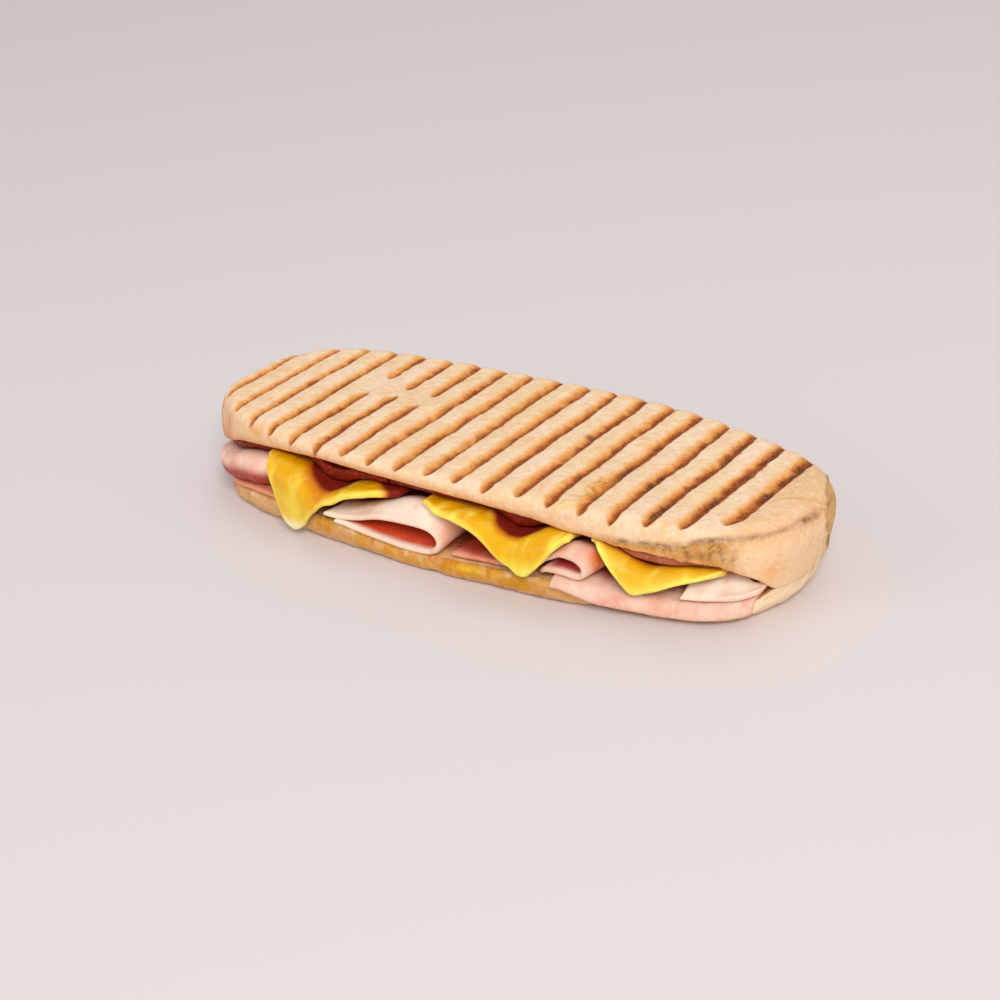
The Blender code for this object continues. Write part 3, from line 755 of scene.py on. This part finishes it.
def refined(grid):
    """A finer grid through a coarse one, with extra rows close to its border.

    Returns the grid and each point's distance to the border, in millimetres.
    """
    close, border = np.array(RIM_ROWS[:-1]), RIM_ROWS[-1]
    distances = []
    for axis in (0, 1):
        grid = np.swapaxes(grid, 0, axis)
        lengths = np.linalg.norm(np.diff(grid, axis=0), axis=-1).mean(axis=1)
        places = np.concatenate([[0.0], np.cumsum(lengths)])
        total = places[-1]
        count = max(3, math.ceil((total - 2 * border) / SLICE_STEP) + 1)
        inside = np.linspace(border, total - border, count)
        targets = np.concatenate([close, inside, total - close[::-1]])
        grid = np.swapaxes(hermite(grid, places, targets), 0, axis)
        distances.append(np.minimum(targets, total - targets))
    return grid, np.minimum(distances[0][:, None], distances[1][None, :])


def slice_faces(rows, columns):
    """Faces of both sides of a slice and of the rim that joins them."""
    index = np.arange(rows * columns).reshape(rows, columns)
    other = rows * columns
    a = index[:-1, :-1].ravel()
    upper = np.column_stack([a, a + 1, a + 1 + columns, a + columns])
    rim = np.concatenate([index[0], index[1:, -1], index[-1, -2::-1], index[-2:0:-1, 0]])
    after = np.roll(rim, -1)
    return [upper, upper[:, ::-1] + other,
            np.column_stack([after, rim, rim + other, after + other])]


def softened(field, times):
    """A grid of vectors averaged with its neighbours a number of times."""
    for _ in range(times):
        for axis in (0, 1):
            field = np.swapaxes(field, 0, axis)
            before = np.concatenate([field[:1], field[:-1]])
            after = np.concatenate([field[1:], field[-1:]])
            field = np.swapaxes((before + 2 * field + after) / 4, 0, axis)
    return field


def add_slice(name, grid, thickness, paint, material, seed, swell=0.0, ripple=0.25, half=None):
    """A closed slice with rounded rims round a grid of points on its middle surface.

    half is a grid of the half thickness, as vectors, for a slice that isn't equally thick.
    """
    if half is not None:
        grid = np.concatenate([grid, half], axis=-1)
    grid, away = refined(grid)
    grid, half = grid[..., :3], grid[..., 3:]
    normal = unit(np.cross(np.gradient(grid, axis=0), np.gradient(grid, axis=1)))
    normal = unit(softened(normal, SOFTENING))
    wave = ripple * noise(grid, 8, seed, 2)
    grid = grid + normal * wave[..., None]
    t = held(away / (thickness / 2))
    round_off = np.sqrt(np.maximum(1 - (1 - t) ** 2, 0.0001))
    bead = 1 + swell * (hump(away, 1.6, 1.3) - 0.35)
    if half.size:
        offset = half * round_off[..., None]
    else:
        offset = normal * (thickness / 2 * round_off * bead)[..., None]
    points = np.stack([grid + offset, grid - offset])
    colours, light = paint(points, np.stack([away, away]), np.stack([normal, -normal]))
    add_mesh(name + "_look", points, slice_faces(*away.shape), colours, {"light": light}, material)


# Height of the cheese layer's middle under the lip, as (x, z): it sags where a corner hangs out
cheese_crest = smooth_curve(
    (-72, 23.8), (-63, 23.2), (-55, 20.6), (-49, 18.4), (-44, 18.8), (-38, 21.4), (-30, 22.8),
    (6, 23.2), (15, 23.0), (20, 22.4), (25, 20.2), (29, 18.8), (33, 19.4), (38, 21.4), (44, 22.8),
    (54, 22.8), (61, 22.2), (66, 20.9), (73, 17.9), (80, 16.8), (90, 17.8), (98, 17.0), (104, 15.2))

# How far behind the sole's front line the cheese falls into the dark of a hollow, as (x, depth)
hollow_edge = smooth_curve(
    (-66, 14), (-58, 5), (-54, 2.5), (-50, 0.8), (-46, 0.5), (-43, 3.5), (-40, 7), (-36, 14),
    (-30, 9), (-25, 5), (-20, 2.4), (-16, 1), (-10, 14), (14, 14), (20, 7), (24, 2.5), (28, 2.0),
    (32, 1.7), (36, 3.0), (40, 5.5), (46, 10), (54, 10), (60, 4.0), (66, 2.6), (88, 2.6), (96, 3.6))


def cheese_level(x, y):
    """Height of the cheese layer's middle, level in the depth of the mouth."""
    behind = y - sole_front_line(x)
    rear = np.minimum(CHEESE_REAR, cheese_crest(x))
    return mix(cheese_crest(x), rear, ease(5, mix(26, 18, ease(18, 44, x)), behind))


def cheese_slice(edge, steps=(16, 24, 34)):
    """Middle surface of a cheese slice that bends down over the layer's front.

    edge gives the length that hangs down at each x, and negative where it ends behind the bend.
    """
    start, end = edge[0][0], edge[-1][0]
    tip = max(edge, key=lambda point: point[1])[0]
    x = np.concatenate([np.linspace(start, tip, steps[0])[:-1], np.linspace(tip, end, steps[1])])
    x = x[:, None]
    share = shares(steps[2]) ** 1.3
    crest = sole_front_line(x) - HANG_STEP + CHEESE_BEND
    reach = mix(smooth_curve(*edge)(x), crest - deepest(x, 4.0), share)
    turn = held(reach / CHEESE_BEND, math.pi / 2)
    straight = np.maximum(reach - CHEESE_BEND * math.pi / 2, 0.0)
    drop = CHEESE_BEND * (1 - np.cos(turn)) + straight
    y = crest - np.minimum(reach, 0.0) - CHEESE_BEND * np.sin(turn)
    return at(x, y, cheese_level(x, y) - drop)


CHEESE_YELLOW = colour(246, 208, 16)
CHEESE_DEEP = colour(226, 162, 0)
CHEESE_PALE = colour(255, 240, 112)
CHEESE_WHITE = colour(255, 246, 206)
# Painted shade on the cheese: orange under the lip and dark red in the hollows
CHEESE_SHADE = colour(206, 104, 4)
HOLLOW_SHADE = colour(122, 22, 4)


def paint_cheese(points, away, normal):
    """Colour of a cheese slice, and how little of it lies in the dark of a hollow."""
    x, y, z = np.moveaxis(points, -1, 0)
    behind = y - sole_front_line(x)
    above = z - cheese_crest(x)
    patch = noise(points, 9, 61, 2)
    streak = noise(points * np.array([1.0, 0.6, 0.3]), 3.4, 63, 2)
    into = behind - hollow_edge(x) + 0.5 * patch
    base = layered(
        CHEESE_YELLOW,
        (CHEESE_DEEP, 0.3 + 0.4 * patch, 1),
        # Deeper amber near the crest, where the lip shades it, and paler lower down the hang: partly
        # the cheese's own tone, partly painted shade
        (CHEESE_DEEP, 0.7 * ease(-7, -1, above)),
        (CHEESE_DEEP, 0.3 * ease(30, 50, -x) * ease(5, 10, z)),
        (CHEESE_PALE, mix(0.35, 0.85, ease(-40, 60, x)) * ease(-4, -11, above)),
        # Streaks down the hang: the deeper amber ones are painted shade, the pale yellow ones painted
        # highlights
        (CHEESE_DEEP, 0.8 * streak - 0.1, 0.6),
        (CHEESE_PALE, -0.8 * streak - 0.1, 0.55),
        (CHEESE_PALE, 0.75 * hump(away, 0.3, 1.1) + 0.35 * hump(away, 0, 4) * ease(40, 60, x)),
        (CHEESE_WHITE, mix(0.45, 0.95, x < -40) * ease(9.0, 3.0, z)),
        # Painted shade: orange where the cheese goes in under the lip, dark red in the hollows behind
        # a sagging crest
        (CHEESE_SHADE, 0.9 * ease(mix(-2.6, -6.5, ease(40, 52, -x)), 0.3, into)),
        (CHEESE_SHADE, 0.6 * ease(3, 9, behind)),
        (HOLLOW_SHADE, ease(-0.4, 1.0, into)))
    return base, fade(-2.6, 0.3, into)


def add_cheeses(material):
    edges = {
        "cheese_left": (
            (-79.5, -2), (-75.4, 2.7), (-72.1, 7.6), (-69.4, 17.7), (-66.5, 22.4), (-63, 23.2),
            (-57.2, 18.1), (-53.9, 12.8), (-47, 5.6), (-39.5, 4.2), (-32.7, 3.2), (-27, 1.6),
            (-21, -1.5), (-18, -4)),
        "cheese_middle": (
            (-7, -2), (0, 1.6), (9, 3.2), (15.9, 4.6), (24.2, 7.2), (31.3, 10.2), (34.6, 13.2),
            (37.1, 14.0), (41.2, 11.9), (45.3, 8.0), (48.7, 3.4), (51, -0.6)),
        "cheese_right": (
            (57.2, -2), (61.7, 2.4), (65, 5.4), (71.1, 10.2), (73, 11.2), (77.6, 9.2), (84, 6.9),
            (90.1, 5.4), (97.2, 2.3), (100, -0.5)),
    }
    for seed, (name, edge) in enumerate(edges.items(), 71):
        add_slice(name, cheese_slice(edge), CHEESE, paint_cheese, material, seed,
                  swell=0.14, ripple=0.45)


def fold_path(share, legs):
    """How near the fold a place on a folded slice is, from 0 to 1, and its turn round it."""
    low, high = legs
    run = np.where(share < low, share / low, np.where(share > high, (1 - share) / (1 - high), 1.0))
    return run, held((share - low) / (high - low)) * math.pi


def folded_ham(front, rear, left, right, heights, bend, legs, steps=44):
    """Middle surface of a slice folded over to the right, with its fold running into the mouth."""
    rows = np.interp(np.linspace(0, 6, 19), np.arange(7), FOLD_ROWS)
    y = mix(front, rear, rows)[:, None]
    share = shares(steps)
    run, turn = fold_path(share, FOLD_LEGS)
    turn = turn - math.pi / 2
    start = np.where(share < FOLD_LEGS[0], left + legs[0], left - legs[1])
    x = mix(start, right - bend, run) + bend * np.cos(turn) * (run >= 1.0)
    x = x + FOLD_SWING * (y - front)
    under = mouth_floor(x, y) + (HAM + REST_GAP) * ease(38, 43, x) + REST_GAP + HAM / 2
    return at(x, y, under + (1 + np.sin(turn)) / 2 * heights(run + 0 * y, y))


def tube_heights(front, crest, rear, taper):
    """Heights of a fold: at its mouth, just behind it and in its rear, and their taper."""
    def height(run, y):
        rise = mix(front, crest, ease(-47, -38, y))
        rise = mix(rise, rear, ease(-39, -26, y))
        return rise * mix(taper, 1.0, ease(0.05, 0.8, run))
    return height


def floor_places(x, front, rear):
    """Places from front to rear that follow the ramp and the floor of the mouth."""
    rear = np.minimum(deepest(x), rear)
    knee = np.minimum(rim_line(x) + within_mouth(RAMP, x), mix(front, rear, 0.6))
    return [front, (front + knee) / 2, knee, (knee + rear) / 2, rear]


def low_slice_grid(start=45.0, end=112.0, steps=44):
    """Middle surface of the long slice that hangs over the rim of the sole."""
    hang_share = smooth_curve((45, 0.2), (58, 0.5), (70, 1.0), (106, 1.0), (112, 0.8))
    lift = REST_GAP + HAM / 2
    rows = []
    for x in np.linspace(start, end, steps):
        share = hang_share(x)
        turns = np.radians(95 * min(1.0, 0.45 + share)) * np.linspace(1, 0, 5)
        rim_y, rim_z = sole_front_line(x) + HANG_RADIUS - 0.3, sole_rim(x) - HANG_RADIUS
        arc_y = rim_y - (HANG_RADIUS + lift) * np.sin(turns)
        arc_z = rim_z + (HANG_RADIUS + lift) * np.cos(turns)
        hang = max(0.5, (arc_z[0] - HANG_FOOT) * share ** 1.5)
        down, out = math.sin(turns[0]), math.cos(turns[0])
        row = [(x, arc_y[0] - hang * part * out, arc_z[0] - hang * part * down)
               for part in (1.0, 0.5)]
        row += [(x, y, z) for y, z in zip(arc_y, arc_z)]
        row += [(x, y, low_height(x, y)) for y in floor_places(x, rim_y, 18.0)[1:]]
        rows.append(row)
    return np.array(rows, dtype=float)


def left_fold(x):
    """Radius of the rolled-over ham's fold, and where the slice starts and ends in y."""
    radius = smooth_curve(
        (-121, 1.5), (-114, 2.3), (-106, 2.9), (-98, 3.7), (-91, 4.0), (-84, 4.0), (-72, 3.3))(x)
    front = sole_front_line(x) + radius - 0.6 - 1.0 * ease(90, 108, -x) + 4.0 * ease(-86, -75, x)
    return radius, front, np.minimum(deepest(x), 8.0)


def left_fold_legs(x, y, radius, behind):
    """Heights of the lower and the upper leg of the rolled-over ham."""
    lower = mouth_floor(x, y) + REST_GAP + GAP + 1.5 * HAM
    return lower, lower + mix(2 * radius, np.minimum(2 * radius, 3.2), ease(0.0, 0.42, behind))


def rolled_ham_grid(start=-121.0, end=-70.0, steps=(30, 40)):
    """Middle surface of the slice whose fold runs along the mouth at the left end."""
    x = mix(start, end, np.linspace(0, 1, steps[0]))[:, None]
    radius, front, rear = left_fold(x)
    run, turn = fold_path(shares(steps[1]), ROLL_LEGS)
    y = mix(rear, front, run) - radius * np.sin(turn)
    lower, upper = left_fold_legs(x, y, radius, 1 - run)
    z = mix(lower, upper, (1 - np.cos(turn)) / 2)
    return at(x, y, np.minimum(z, mouth_ceiling(x, y) - REST_GAP - HAM / 2))


def flat_slice_grid(start, end, front, rear, height, steps, lean=0.0):
    along = np.linspace(0, 1, steps)[:, None]
    x = mix(start, end, along)
    y = np.concatenate(floor_places(x, sole_front_line(x) + front, rear), axis=1)
    x = x + lean * (y + HALF_WIDTH) * (1 - along)
    return at(x, y, height(x, y))


def low_height(x, y):
    return mouth_floor(x, y) + REST_GAP + HAM / 2


def pale_slice_height(x, y):
    behind = y - sole_front_line(x)
    rise = smooth_curve((84, 2.4), (98, 3.2), (107, 2.8), (110.5, 1.6), (113, 0.6))(x)
    return mouth_floor(x, y) + REST_GAP + GAP + 1.5 * HAM + rise * ease(-1, 9, behind)


def above_cheese(x, y):
    return cheese_level(x, y) + CHEESE / 2 + TOP_HAM_GAP


def above_left_fold(x, y):
    radius, front, rear = left_fold(x)
    behind = held((y - front) / (rear - front))
    return left_fold_legs(x, y, radius, behind)[1] + HAM / 2 + TOP_HAM_GAP


def top_ham(start, end, below, steps):
    """Middle and half thickness of a slice that fills the mouth above the height below."""
    x = mix(start, end, np.linspace(0, 1, steps[0]))[:, None]
    share = shares(steps[1]) ** 1.7
    front = top_front_line(x) + TOP_HAM_NOSE + 0.9 * noise(at(x, 0 * x), 9, 12)
    y = mix(front, np.minimum(deepest(x), 20.0), share)
    low = below(x, y)
    room = np.clip(mouth_ceiling(x, y) - REST_GAP - low, 0.3, TOP_HAM_MOST)
    return at(x, y, low + room / 2), at(0 * x, 0 * y, room / 2)


HAM_CREAM = colour(252, 234, 216)
HAM_PINK = colour(242, 194, 176)
HAM_DULL = colour(230, 190, 170)
# Painted brown shade of the right slice under the lip
HAM_BROWN_SHADE = colour(192, 96, 50)
HAM_ROSE = colour(228, 138, 108)
HAM_SIDE = colour(234, 158, 112)
# Painted orange shade on the right side of a fold
HAM_ORANGE_SHADE = colour(236, 120, 30)
HAM_SHADE = colour(164, 32, 6)
# Painted red shade inside the folds
HAM_INNER_SHADE = colour(222, 66, 0)
HAM_CRIMSON_SHADE = colour(206, 40, 44)
# Painted dark red shade of the slices under the lip
HAM_DARK_SHADE = colour(128, 26, 0)


def ham_paint(cream, shade, dark, most=0.9, inner=0.0, low=0.0, side=0.0, shade_colour=HAM_SHADE,
              body=HAM_PINK, inner_shade_colour=HAM_INNER_SHADE):
    """Paint of a slice: how creamy it is, and where behind the rim it falls into red shade.

    inner paints red shade into the inside of a fold, low paints shade on what faces down, and side
    paints orange shade on what faces right.
    """
    def paint(points, away, normal):
        behind = points[..., 1] - sole_front_line(points[..., 0])
        patch = noise(points, 10, 81, 2)
        streak = noise(points * np.array([1.0, 0.35, 1.0]), 4, 82, 2)
        shaded = held(low * ease(0.65, -0.25, normal[..., 2]), 0.95)
        inside = np.stack([0 * away[0], 1 + 0 * away[1]])
        deep = most * ease(*shade, behind + 1.2 * patch)
        base = layered(
            body,
            (HAM_CREAM, cream + 0.35 * patch, 1),
            (HAM_ROSE, 0.12 + 0.4 * streak + dark, 1),
            # Painted orange shade where a fold faces right
            (HAM_ORANGE_SHADE, side * ease(0.2, 0.9, normal[..., 0]) * ease(-1, 3, behind)),
            (HAM_SHADE, shaded),
            # Painted red shade inside a fold
            (inner_shade_colour, inner * inside * ease(0.8, 3.4, away)),
            (HAM_SIDE, 0.55 * hump(away, 0.0, 0.7) * (1 - 0.6 * cream)),
            (shade_colour, deep))
        return base, 1 - held(deep + inner * inside + shaded)
    return paint


def add_hams(material):
    def add(name, grid, paint, seed, half=None, ripple=0.22):
        add_slice(name, grid, HAM, paint, material, seed, half=half, ripple=ripple)

    add("ham_fold_left", rolled_ham_grid(),
        ham_paint(0.35, (5.0, 12.0), 0.1, inner=0.6, low=1.1), 91)
    add("ham_fold_middle",
        folded_ham(front=-46.4, rear=16.0, left=-46.4, right=1.0,
                   heights=tube_heights(9.2, 12.0, 5.6, 0.2), bend=7.0, legs=(3.0, 1.4)),
        ham_paint(0.95, (6.0, 12.0), -0.15, inner=0.95, side=0.45), 92)
    add("ham_fold_right",
        folded_ham(front=-45.0, rear=10.0, left=40.0, right=57.0,
                   heights=tube_heights(6.0, 7.2, 3.2, 0.5), bend=4.5, legs=(1.0, 1.0)),
        ham_paint(0.5, (4.0, 9.0), 0.05, inner=0.9, side=0.9, inner_shade_colour=HAM_CRIMSON_SHADE), 93)
    # The low left slice is painted redder: painted shade under the rolled fold
    add("ham_low_left", flat_slice_grid(-114, -61, -0.4, 10.0, low_height, 40),
        ham_paint(0.0, (1.0, 6.0), 0.4, low=0.8, body=HAM_ROSE), 94, ripple=0.12)
    add("ham_low_middle", flat_slice_grid(4.0, 37.6, 2.0, 6.0, low_height, 24, lean=FOLD_SWING),
        ham_paint(0.0, (1.0, 6.0), 0.6, low=0.5), 95, ripple=0.12)
    add("ham_low_right", low_slice_grid(),
        ham_paint(0.0, (3.0, 8.0), 0.0, body=HAM_DULL), 96, ripple=0.12)
    add("ham_pale_right", flat_slice_grid(88, 113, -1.6, -4.0, pale_slice_height, 24),
        ham_paint(0.75, (6.0, 12.0), -0.05), 97, ripple=0.15)
    # The top slices lie under the lip and are painted in shade: dark red going in, and the right one
    # brown all over
    upper = ham_paint(0.0, (-2.5, 2.5), 0.35, most=1.0, shade_colour=HAM_DARK_SHADE)
    browner_shade = ham_paint(-0.3, (-3.5, 4.0), 0.3, most=0.95, shade_colour=HAM_DARK_SHADE, body=HAM_BROWN_SHADE)
    tops = (("ham_top_end", -114, -81, above_left_fold, upper),
            ("ham_top_left", -66, -24, above_cheese, upper),
            ("ham_top_middle", -23, 56, above_cheese, upper),
            ("ham_top_right", 57, 96, above_cheese, browner_shade))
    for seed, (name, start, end, below, paint) in enumerate(tops, 101):
        middle, half = top_ham(start, end, below, (int((end - start) / 1.5), 16))
        add(name, middle, paint, seed, half=half, ripple=0.1)


# Materials
def fill(tree, node, values):
    """Sets a node's inputs to values, or links them to the outputs of other nodes."""
    for key, value in values.items():
        if isinstance(value, bpy.types.NodeSocket):
            tree.links.new(value, node.inputs[key])
        else:
            node.inputs[key].default_value = value


def add_node(tree, kind, values, **settings):
    node = tree.nodes.new("ShaderNode" + kind)
    for key, value in settings.items():
        setattr(node, key, value)
    fill(tree, node, values)
    return node.outputs


def new_material(name):
    material = bpy.data.materials.new(name)
    material.use_nodes = True
    return material, material.node_tree, material.node_tree.nodes["Principled BSDF"]


def texture(tree, size, detail):
    """A noise in the piece's own coordinates, with features of about size millimetres."""
    place = add_node(tree, "TexCoord", {})["Object"]
    return add_node(tree, "TexNoise", {"Vector": place, "Scale": 1 / (size * MM), "Detail": detail,
                                       "Roughness": 0.55})["Fac"]


def attribute(tree, name, output="Fac"):
    return add_node(tree, "Attribute", {}, attribute_name=name)[output]


def ranged(tree, value, low, high, start=0.0, end=1.0):
    return add_node(tree, "MapRange", {"Value": value, "From Min": low, "From Max": high,
                                       "To Min": start, "To Max": end})["Result"]


def maths(tree, operation, a, b):
    return add_node(tree, "Math", {0: a, 1: b}, operation=operation)[0]


def times(tree, a, b):
    return maths(tree, "MULTIPLY", a, b)


def tinted(tree, base, other, share):
    return add_node(tree, "Mix", {"A": base, "B": (*other, 1.0), "Factor": share},
                    data_type="RGBA", blend_type="MIX")["Result"]


def bumped(tree, *heights):
    """A normal from (height, distance in millimetres) pairs, laid one over the other."""
    normal = {}
    for height, distance in heights:
        values = {"Strength": 1.0, "Distance": distance * MM, "Height": height, **normal}
        normal = {"Normal": add_node(tree, "Bump", values)["Normal"]}
    return normal["Normal"]


def crust_material():
    material, tree, surface = new_material("crust_look")
    char = attribute(tree, "char")
    speck = ranged(tree, texture(tree, 0.9, 3.0), 0.35, 0.7)
    flour = ranged(tree, texture(tree, 1.6, 4.0), 0.52, 0.72)
    flour = times(tree, flour, maths(tree, "SUBTRACT", 1.0, attribute(tree, "brown")))
    burnt = times(tree, ranged(tree, texture(tree, 0.7, 3.0), 0.42, 0.66), char)
    base = attribute(tree, "Col", "Color")
    base = tinted(tree, base, (0.78, 0.5, 0.26), times(tree, speck, 0.24))
    base = tinted(tree, base, (0.96, 0.80, 0.64), times(tree, flour, 0.4))
    base = tinted(tree, base, (0.16, 0.035, 0.0), times(tree, burnt, 0.45))
    rough = ranged(tree, texture(tree, 2.0, 2.0), 0.3, 0.7, 0.62, 0.86)
    rough = maths(tree, "SUBTRACT", rough, times(tree, char, 0.18))
    gloss = times(tree, attribute(tree, "oil"), 0.34)
    fill(tree, surface, {
        "Base Color": base,
        "Roughness": maths(tree, "SUBTRACT", rough, gloss),
        "Specular IOR Level": 0.06,
        "Subsurface Weight": 0.12,
        "Subsurface Radius": (1.0, 0.45, 0.2),
        "Subsurface Scale": 1.5 * MM,
        "Normal": bumped(tree, (texture(tree, 2.4, 3.0), 0.6), (texture(tree, 0.8, 3.0), 0.4)),
    })
    return material


def cheese_material():
    material, tree, surface = new_material("cheese_look")
    light = attribute(tree, "light")
    patch = times(tree, ranged(tree, texture(tree, 3.5, 2.0), 0.4, 0.7), light)
    dull = ranged(tree, light, 0.0, 1.0, 0.4, 0.0)
    rough = ranged(tree, texture(tree, 2.5, 2.0), 0.3, 0.7, 0.22, 0.42)
    fill(tree, surface, {
        "Base Color": tinted(tree, attribute(tree, "Col", "Color"), (0.86, 0.52, 0.002),
                             times(tree, patch, 0.3)),
        "Roughness": maths(tree, "ADD", rough, dull),
        "Subsurface Weight": 0.5,
        "Subsurface Radius": (1.0, 0.6, 0.12),
        "Subsurface Scale": 3 * MM,
        "Specular IOR Level": 0.22,
        "Coat Weight": 0.06,
        "Coat Roughness": 0.3,
        "Normal": bumped(tree, (texture(tree, 4.0, 2.0), 0.5), (texture(tree, 1.0, 2.0), 0.06)),
    })
    return material


def ham_material():
    material, tree, surface = new_material("ham_look")
    fat = ranged(tree, texture(tree, 2.6, 3.0), 0.55, 0.7)
    fat = times(tree, fat, attribute(tree, "light"))
    vein = ranged(tree, texture(tree, 1.6, 4.0), 0.55, 0.72)
    base = attribute(tree, "Col", "Color")
    base = tinted(tree, base, (0.96, 0.86, 0.78), times(tree, fat, 0.3))
    fill(tree, surface, {
        "Base Color": tinted(tree, base, (0.78, 0.34, 0.26), times(tree, vein, 0.16)),
        "Roughness": ranged(tree, texture(tree, 1.8, 2.0), 0.3, 0.7, 0.32, 0.52),
        "Specular IOR Level": 0.15,
        "Subsurface Weight": 0.4,
        "Subsurface Radius": (1.0, 0.35, 0.22),
        "Subsurface Scale": 2.5 * MM,
        "Normal": bumped(tree, (texture(tree, 3.0, 3.0), 0.3), (texture(tree, 0.7, 3.0), 0.1)),
    })
    return material


# Stage, with sizes in metres
FLOOR_HALF = 3.0
LIGHT_TARGET = Vector((0.0, 0.0, 0.02))


def add_floor():
    mesh = bpy.data.meshes.new("floor")
    corners = [(x * FLOOR_HALF, y * FLOOR_HALF, 0) for x, y in ((-1, -1), (1, -1), (1, 1), (-1, 1))]
    mesh.from_pydata(corners, [], [(0, 1, 2, 3)])
    item = new_object("floor", mesh)
    material, tree, surface = new_material("floor_pale")
    fill(tree, surface, {"Base Color": (0.74, 0.68, 0.69, 1.0), "Roughness": 0.55})
    mesh.materials.append(material)


def add_lights():
    world = bpy.data.worlds.new("studio")
    world.use_nodes = True
    fill(world.node_tree, world.node_tree.nodes["Background"],
         {"Color": (1.0, 0.985, 0.97, 1.0), "Strength": 0.5})
    bpy.context.scene.world = world
    for name, place, size, power, tint in (
            ("key", (1.4, -1.4, 1.7), 1.2, 42.0, (1.0, 0.98, 0.95)),
            ("fill", (-1.6, -2.0, 1.0), 1.8, 11.0, (1.0, 1.0, 1.0)),
            ("top", (-0.2, 1.0, 2.4), 1.8, 9.0, (1.0, 1.0, 1.0))):
        light = bpy.data.lights.new(name, "AREA")
        light.shape = "DISK"
        light.size = size
        light.energy = power
        light.color = tint
        item = new_object(name, light)
        item.location = Vector(place)
        item.rotation_mode = "QUATERNION"
        item.rotation_quaternion = (LIGHT_TARGET - Vector(place)).to_track_quat("-Z", "Y")


# Camera, fitted to the photo: angles in radians, lengths in millimetres, the rest in pixels
CAMERA_TURN = 0.6731367
CAMERA_RISE = 0.4670083
CAMERA_ROLL = -0.1097924
CAMERA_DISTANCE = 667.649
CAMERA_TARGET = (1.2, -3.0, 33.6)
CAMERA_CENTRE = (508.724, 431.235)
FOCAL = 2000.0
HALF_FRAME = 500.0
SENSOR = 36.0


def add_camera():
    az, el, roll = CAMERA_TURN, CAMERA_RISE, CAMERA_ROLL
    back = np.array([math.sin(az) * math.cos(el), -math.cos(az) * math.cos(el), math.sin(el)])
    level = np.cross(-back, [0, 0, 1])
    level /= np.linalg.norm(level)
    up = np.cross(level, -back)
    right = math.cos(roll) * level + math.sin(roll) * up
    top = -math.sin(roll) * level + math.cos(roll) * up
    across, down = (np.array(CAMERA_CENTRE) - HALF_FRAME) / FOCAL
    place = np.array(CAMERA_TARGET) - CAMERA_DISTANCE * (-back + across * right - down * top)
    data = bpy.data.cameras.new("camera")
    data.sensor_width = SENSOR
    data.lens = SENSOR * FOCAL / (2 * HALF_FRAME)
    data.clip_start, data.clip_end = 0.01, 20.0
    item = new_object("camera", data)
    rows = np.column_stack([right, top, back, place * MM]).tolist()
    item.matrix_world = Matrix([*rows, [0.0, 0.0, 0.0, 1.0]])
    bpy.context.scene.camera = item


def main():
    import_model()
    bpy.context.scene.view_settings.view_transform = "Standard"
    add_bread(crust_material())
    add_cheeses(cheese_material())
    add_hams(ham_material())
    add_floor()
    add_lights()
    add_camera()


main()
